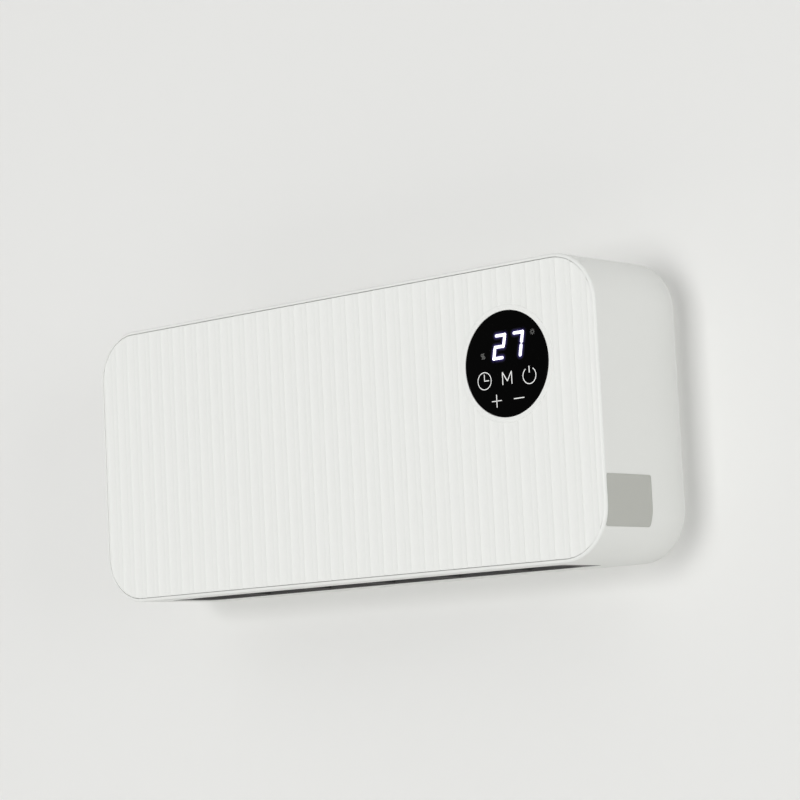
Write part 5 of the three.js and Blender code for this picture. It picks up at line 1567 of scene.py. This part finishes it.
@dataclass
class Inside(Assembly):
    """Duct, board, terminals and leads, whose frame shapes are right."""

    def build(self) -> None:
        """Dress the frame's own pieces."""
        finishes = self.finishes
        recoat(finishes.natural_abs, "rear_scroll", "front_scroll", "left_end_plate",
               "right_end_plate")
        recoat(finishes.board, "main_board")
        recoat(finishes.relay_pbt, "relay_1", "relay_2")
        recoat(finishes.tape, "transformer")
        recoat(finishes.epdm, "capacitor")
        recoat(finishes.pbt, "terminal_block")
        recoat(finishes.sleeve, "motor_lead", "heater_lead_1", "heater_lead_2")


@dataclass
class SideFittings(Assembly):
    """Rocker switch and cord gland in the left side."""

    switch: Flat = (-26.0, -20.0)
    body_half: Flat = (6.5, 9.6)
    well_half: Flat = (4.9, 8.0)
    gland: Flat = (-20.0, -50.0)

    def housing(self) -> Piece:
        """Make the switch's housing with its bezel and well.

        Returns:
            The housing.
        """
        low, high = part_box("switch_housing")
        outer, inner = low.x / MM, high.x / MM
        housing = block("rocker_housing", (outer, low.y / MM, low.z / MM),
                        (outer + 1.6, high.y / MM, high.z / MM))
        softened(housing, 0.35, 3)
        body = beam("switch_body", (outer + 0.3, inner), self.switch, self.body_half)
        meet(housing, softened(body, 0.3), Join.FUSE)
        well = beam("well", (outer - 1, inner - 4), self.switch, self.well_half)
        return meet(housing, well, Join.CUT)

    @staticmethod
    def rocker_corners() -> list[Flat]:
        """Find the rocker's corners in X and Z, with the ends of its face first."""
        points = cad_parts["switch_rocker"].data.vertices
        return sorted({(round(v.co.x / MM, 3), round(v.co.z / MM, 3)) for v in points})

    def rocker(self) -> Piece:
        """Make the rocker, a wedge with a sloping face and round edges.

        Returns:
            The rocker.
        """
        low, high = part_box("switch_rocker")
        corners = self.rocker_corners()
        middle = [sum(c[i] for c in corners) / len(corners) for i in (0, 1)]
        around = sorted(corners, key=lambda c: math.atan2(c[1] - middle[1], c[0] - middle[0]))
        return softened(prism("tipping_rocker", around, low.y / MM, high.y / MM), 0.35, 3)

    def rocker_marks(self) -> Piece:
        """Print a bar and a ring on the rocker's face, on below and off above.

        Returns:
            The marks.
        """
        low, high = (Vector((x, self.switch[0], z)) for x, z in self.rocker_corners()[:2])
        up = (high - low).normalized()
        across = Vector((0.0, 1.0, 0.0))
        out = up.cross(across) if up.cross(across).x < 0 else across.cross(up)

        def placed(share: float, outline: list[Flat], lift: float) -> list[Point]:
            """Lay an outline on the face at a share of its length."""
            centre = low.lerp(high, share) + out * lift
            return [tuple(centre + across * u + up * v) for u, v in outline]

        under, over, outer, inner = -0.05, 0.03, 1.4, 0.95
        bar = loft("bar", [placed(0.27, rounded_ring((0.28, 1.3), 0.1, steps=3), lift)
                           for lift in (under, over)])
        ring = loft("ring", [placed(0.72, rounded_ring((r, r), r - 0.01, steps=8), lift)
                             for r, lift in ((outer, under), (outer, over),
                                             (inner, over), (inner, under))], endless=True)
        return joined("rocker_marks", [bar, ring])

    def build(self) -> None:
        """Make and dress the switch and the gland."""
        finishes = self.finishes
        dress(self.housing(), finishes.dark_abs, "casing", ["switch_housing"])
        dress(self.rocker(), finishes.dark_abs, "rocker", ["switch_rocker"])
        dress(self.rocker_marks(), finishes.mark, "rocker")
        low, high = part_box("cord_gland")
        outer, inner = low.x / MM, high.x / MM
        gland = turned("entry_gland", "x", self.gland, [
            (3.6, outer + 0.5), (3.9, outer + 0.1), (4.5, outer), (5.4, outer),
            (5.85, outer + 0.15), (6.0, outer + 0.5), (6.0, outer + 2.5), (8.5, outer + 2.5),
            (8.5, outer + 4.6), (8.1, outer + 5.0), (6.0, outer + 5.0), (5.2, inner),
            (3.6, inner), (3.6, outer + 0.5)], 48)
        dress(gland, finishes.epdm, "casing", ["cord_gland"])


# ------------------------------------------------------------------ studio

@dataclass(frozen=True)
class Lamp:
    """A square soft box: its name, where it hangs and points, its side and its watts."""

    name: str
    place: Point
    aim: Point
    side: float
    power: float

    def hang(self) -> None:
        """Put the lamp in the scene."""
        light = bpy.data.lights.new(self.name, "AREA")
        light.shape = "RECTANGLE"
        light.size = light.size_y = self.side * MM
        light.energy = self.power
        lamp = bpy.data.objects.new(self.name, light)
        lamp.location = Vector(self.place) * MM
        to_aim = Vector(self.aim) - Vector(self.place)
        lamp.rotation_euler = to_aim.to_track_quat("-Z", "Y").to_euler()
        bpy.context.scene.collection.objects.link(lamp)


@dataclass
class Studio:
    """Pale wall and floor, soft light and the camera, whose place is in metres."""

    paint: str = "EAEAE8"
    half_width: float = 2500.0
    floor: float = -1800.0
    top: float = 2000.0
    wall: float = 0.4
    touch: float = 5.0
    room_light: float = 0.44
    lens: float = 123.9
    sensor: float = 36.0
    camera_place: Point = (1.2412, -1.4184, -0.1828)
    camera_aim: Point = (-0.6581, 0.7445, 0.1126)
    camera_up: Point = (0.111, -0.052, 0.9925)
    lamps: tuple[Lamp, ...] = (
        Lamp("key_upper", (-500, -4200, 300), (0, -40, 0), 900, 52),
        Lamp("key_lower", (-450, -4200, -450), (0, -40, 0), 900, 25),
        Lamp("right_fill", (4200, -1200, 300), (0, -40, 0), 2000, 43),
        Lamp("rear_fill", (0, 4000, 600), (0, 0, 0), 2500, 80))

    def wall_material(self, name: str) -> Material:
        """Build emulsion paint that is there from its face side only.

        Args:
            name: The material's name.

        Returns:
            The material.
        """
        material = bpy.data.materials.new(name)
        material.use_nodes = True
        tree = material.node_tree
        shader = tree.nodes["Principled BSDF"]
        shader.inputs["Base Color"].default_value = linear(self.paint)
        shader.inputs["Roughness"].default_value = 0.9
        shader.inputs["Specular IOR Level"].default_value = 0.1
        clear = add_node(tree, "ShaderNodeBsdfTransparent")
        side = add_node(tree, "ShaderNodeNewGeometry")
        # Rays of a few millimetres start on the heater's back, which stays lit for rear views.
        path = add_node(tree, "ShaderNodeLightPath")
        close = add_node(tree, MATH, "LESS_THAN",
                         {0: path.outputs["Ray Length"], 1: self.touch * MM})
        unseen = add_node(tree, MATH, "MAXIMUM", {0: side.outputs["Backfacing"], 1: close})
        pick = add_node(tree, "ShaderNodeMixShader", inputs={0: unseen, 1: shader, 2: clear})
        tree.links.new(pick.outputs[0], tree.nodes["Material Output"].inputs["Surface"])
        return material

    def sheet(self, name: str, corners: list[Point]) -> None:
        """Make one sheet of the stage.

        Args:
            name: The sheet's name.
            corners: Its corners, anticlockwise seen from its face side.
        """
        mesh = bpy.data.meshes.new(name)
        mesh.from_pydata([Vector(c) * MM for c in corners], [], [[0, 1, 2, 3]])
        sheet = bpy.data.objects.new(name, mesh)
        bpy.context.scene.collection.objects.link(sheet)
        mesh.materials.append(self.wall_material(f"emulsion_{name}"))

    def camera(self) -> None:
        """Set the camera at the photograph's viewing angle."""
        lens = bpy.data.cameras.new("camera")
        lens.lens, lens.sensor_width = self.lens, self.sensor
        lens.clip_start, lens.clip_end = 0.05, 50.0
        camera = bpy.data.objects.new("camera", lens)
        forward = Vector(self.camera_aim).normalized()
        right = forward.cross(Vector(self.camera_up)).normalized()
        turn = Matrix((right, right.cross(forward), -forward)).transposed().to_4x4()
        camera.matrix_world = Matrix.Translation(self.camera_place) @ turn
        bpy.context.scene.collection.objects.link(camera)
        bpy.context.scene.camera = camera

    def build(self) -> None:
        """Set up the camera, the stage and the lights."""
        self.camera()
        side, floor, wall = self.half_width, self.floor, self.wall
        self.sheet("wall", [(-side, wall, floor), (side, wall, floor), (side, wall, self.top),
                            (-side, wall, self.top)])
        self.sheet("floor", [(-side, -side, floor), (side, -side, floor), (side, wall, floor),
                             (-side, wall, floor)])
        world = bpy.data.worlds.new("studio")
        bpy.context.scene.world = world
        world.use_nodes = True
        tree = world.node_tree
        room = tree.nodes["Background"]
        room.inputs["Color"].default_value = (1.0, 1.0, 1.0, 1.0)
        room.inputs["Strength"].default_value = self.room_light
        backdrop = add_node(tree, "ShaderNodeBackground",
                            inputs={"Color": linear(self.paint), "Strength": 1.0})
        path = add_node(tree, "ShaderNodeLightPath")
        mirrored = add_node(tree, MATH, "MAXIMUM", {
            0: path.outputs["Is Glossy Ray"], 1: path.outputs["Is Transmission Ray"]})
        seen = add_node(tree, MATH, "MAXIMUM", {
            0: path.outputs["Is Camera Ray"], 1: mirrored})
        pick = add_node(tree, "ShaderNodeMixShader", inputs={0: seen, 1: room, 2: backdrop})
        tree.links.new(pick.outputs[0], tree.nodes["World Output"].inputs["Surface"])
        for lamp in self.lamps:
            lamp.hang()
        bpy.context.scene.view_settings.view_transform = "Standard"


def main() -> None:
    """Build the studio and every sub-assembly."""
    logging.basicConfig(level=logging.INFO, format="%(name)s %(message)s")
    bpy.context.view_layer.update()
    Studio().build()
    finishes, repeats = Finishes(), Repeats()
    for kind in (Casing, Display, Fan, HeatingBank, Outlet, Intake, Inside, SideFittings):
        kind(finishes, repeats).build()


if __name__ == "__main__":
    main()
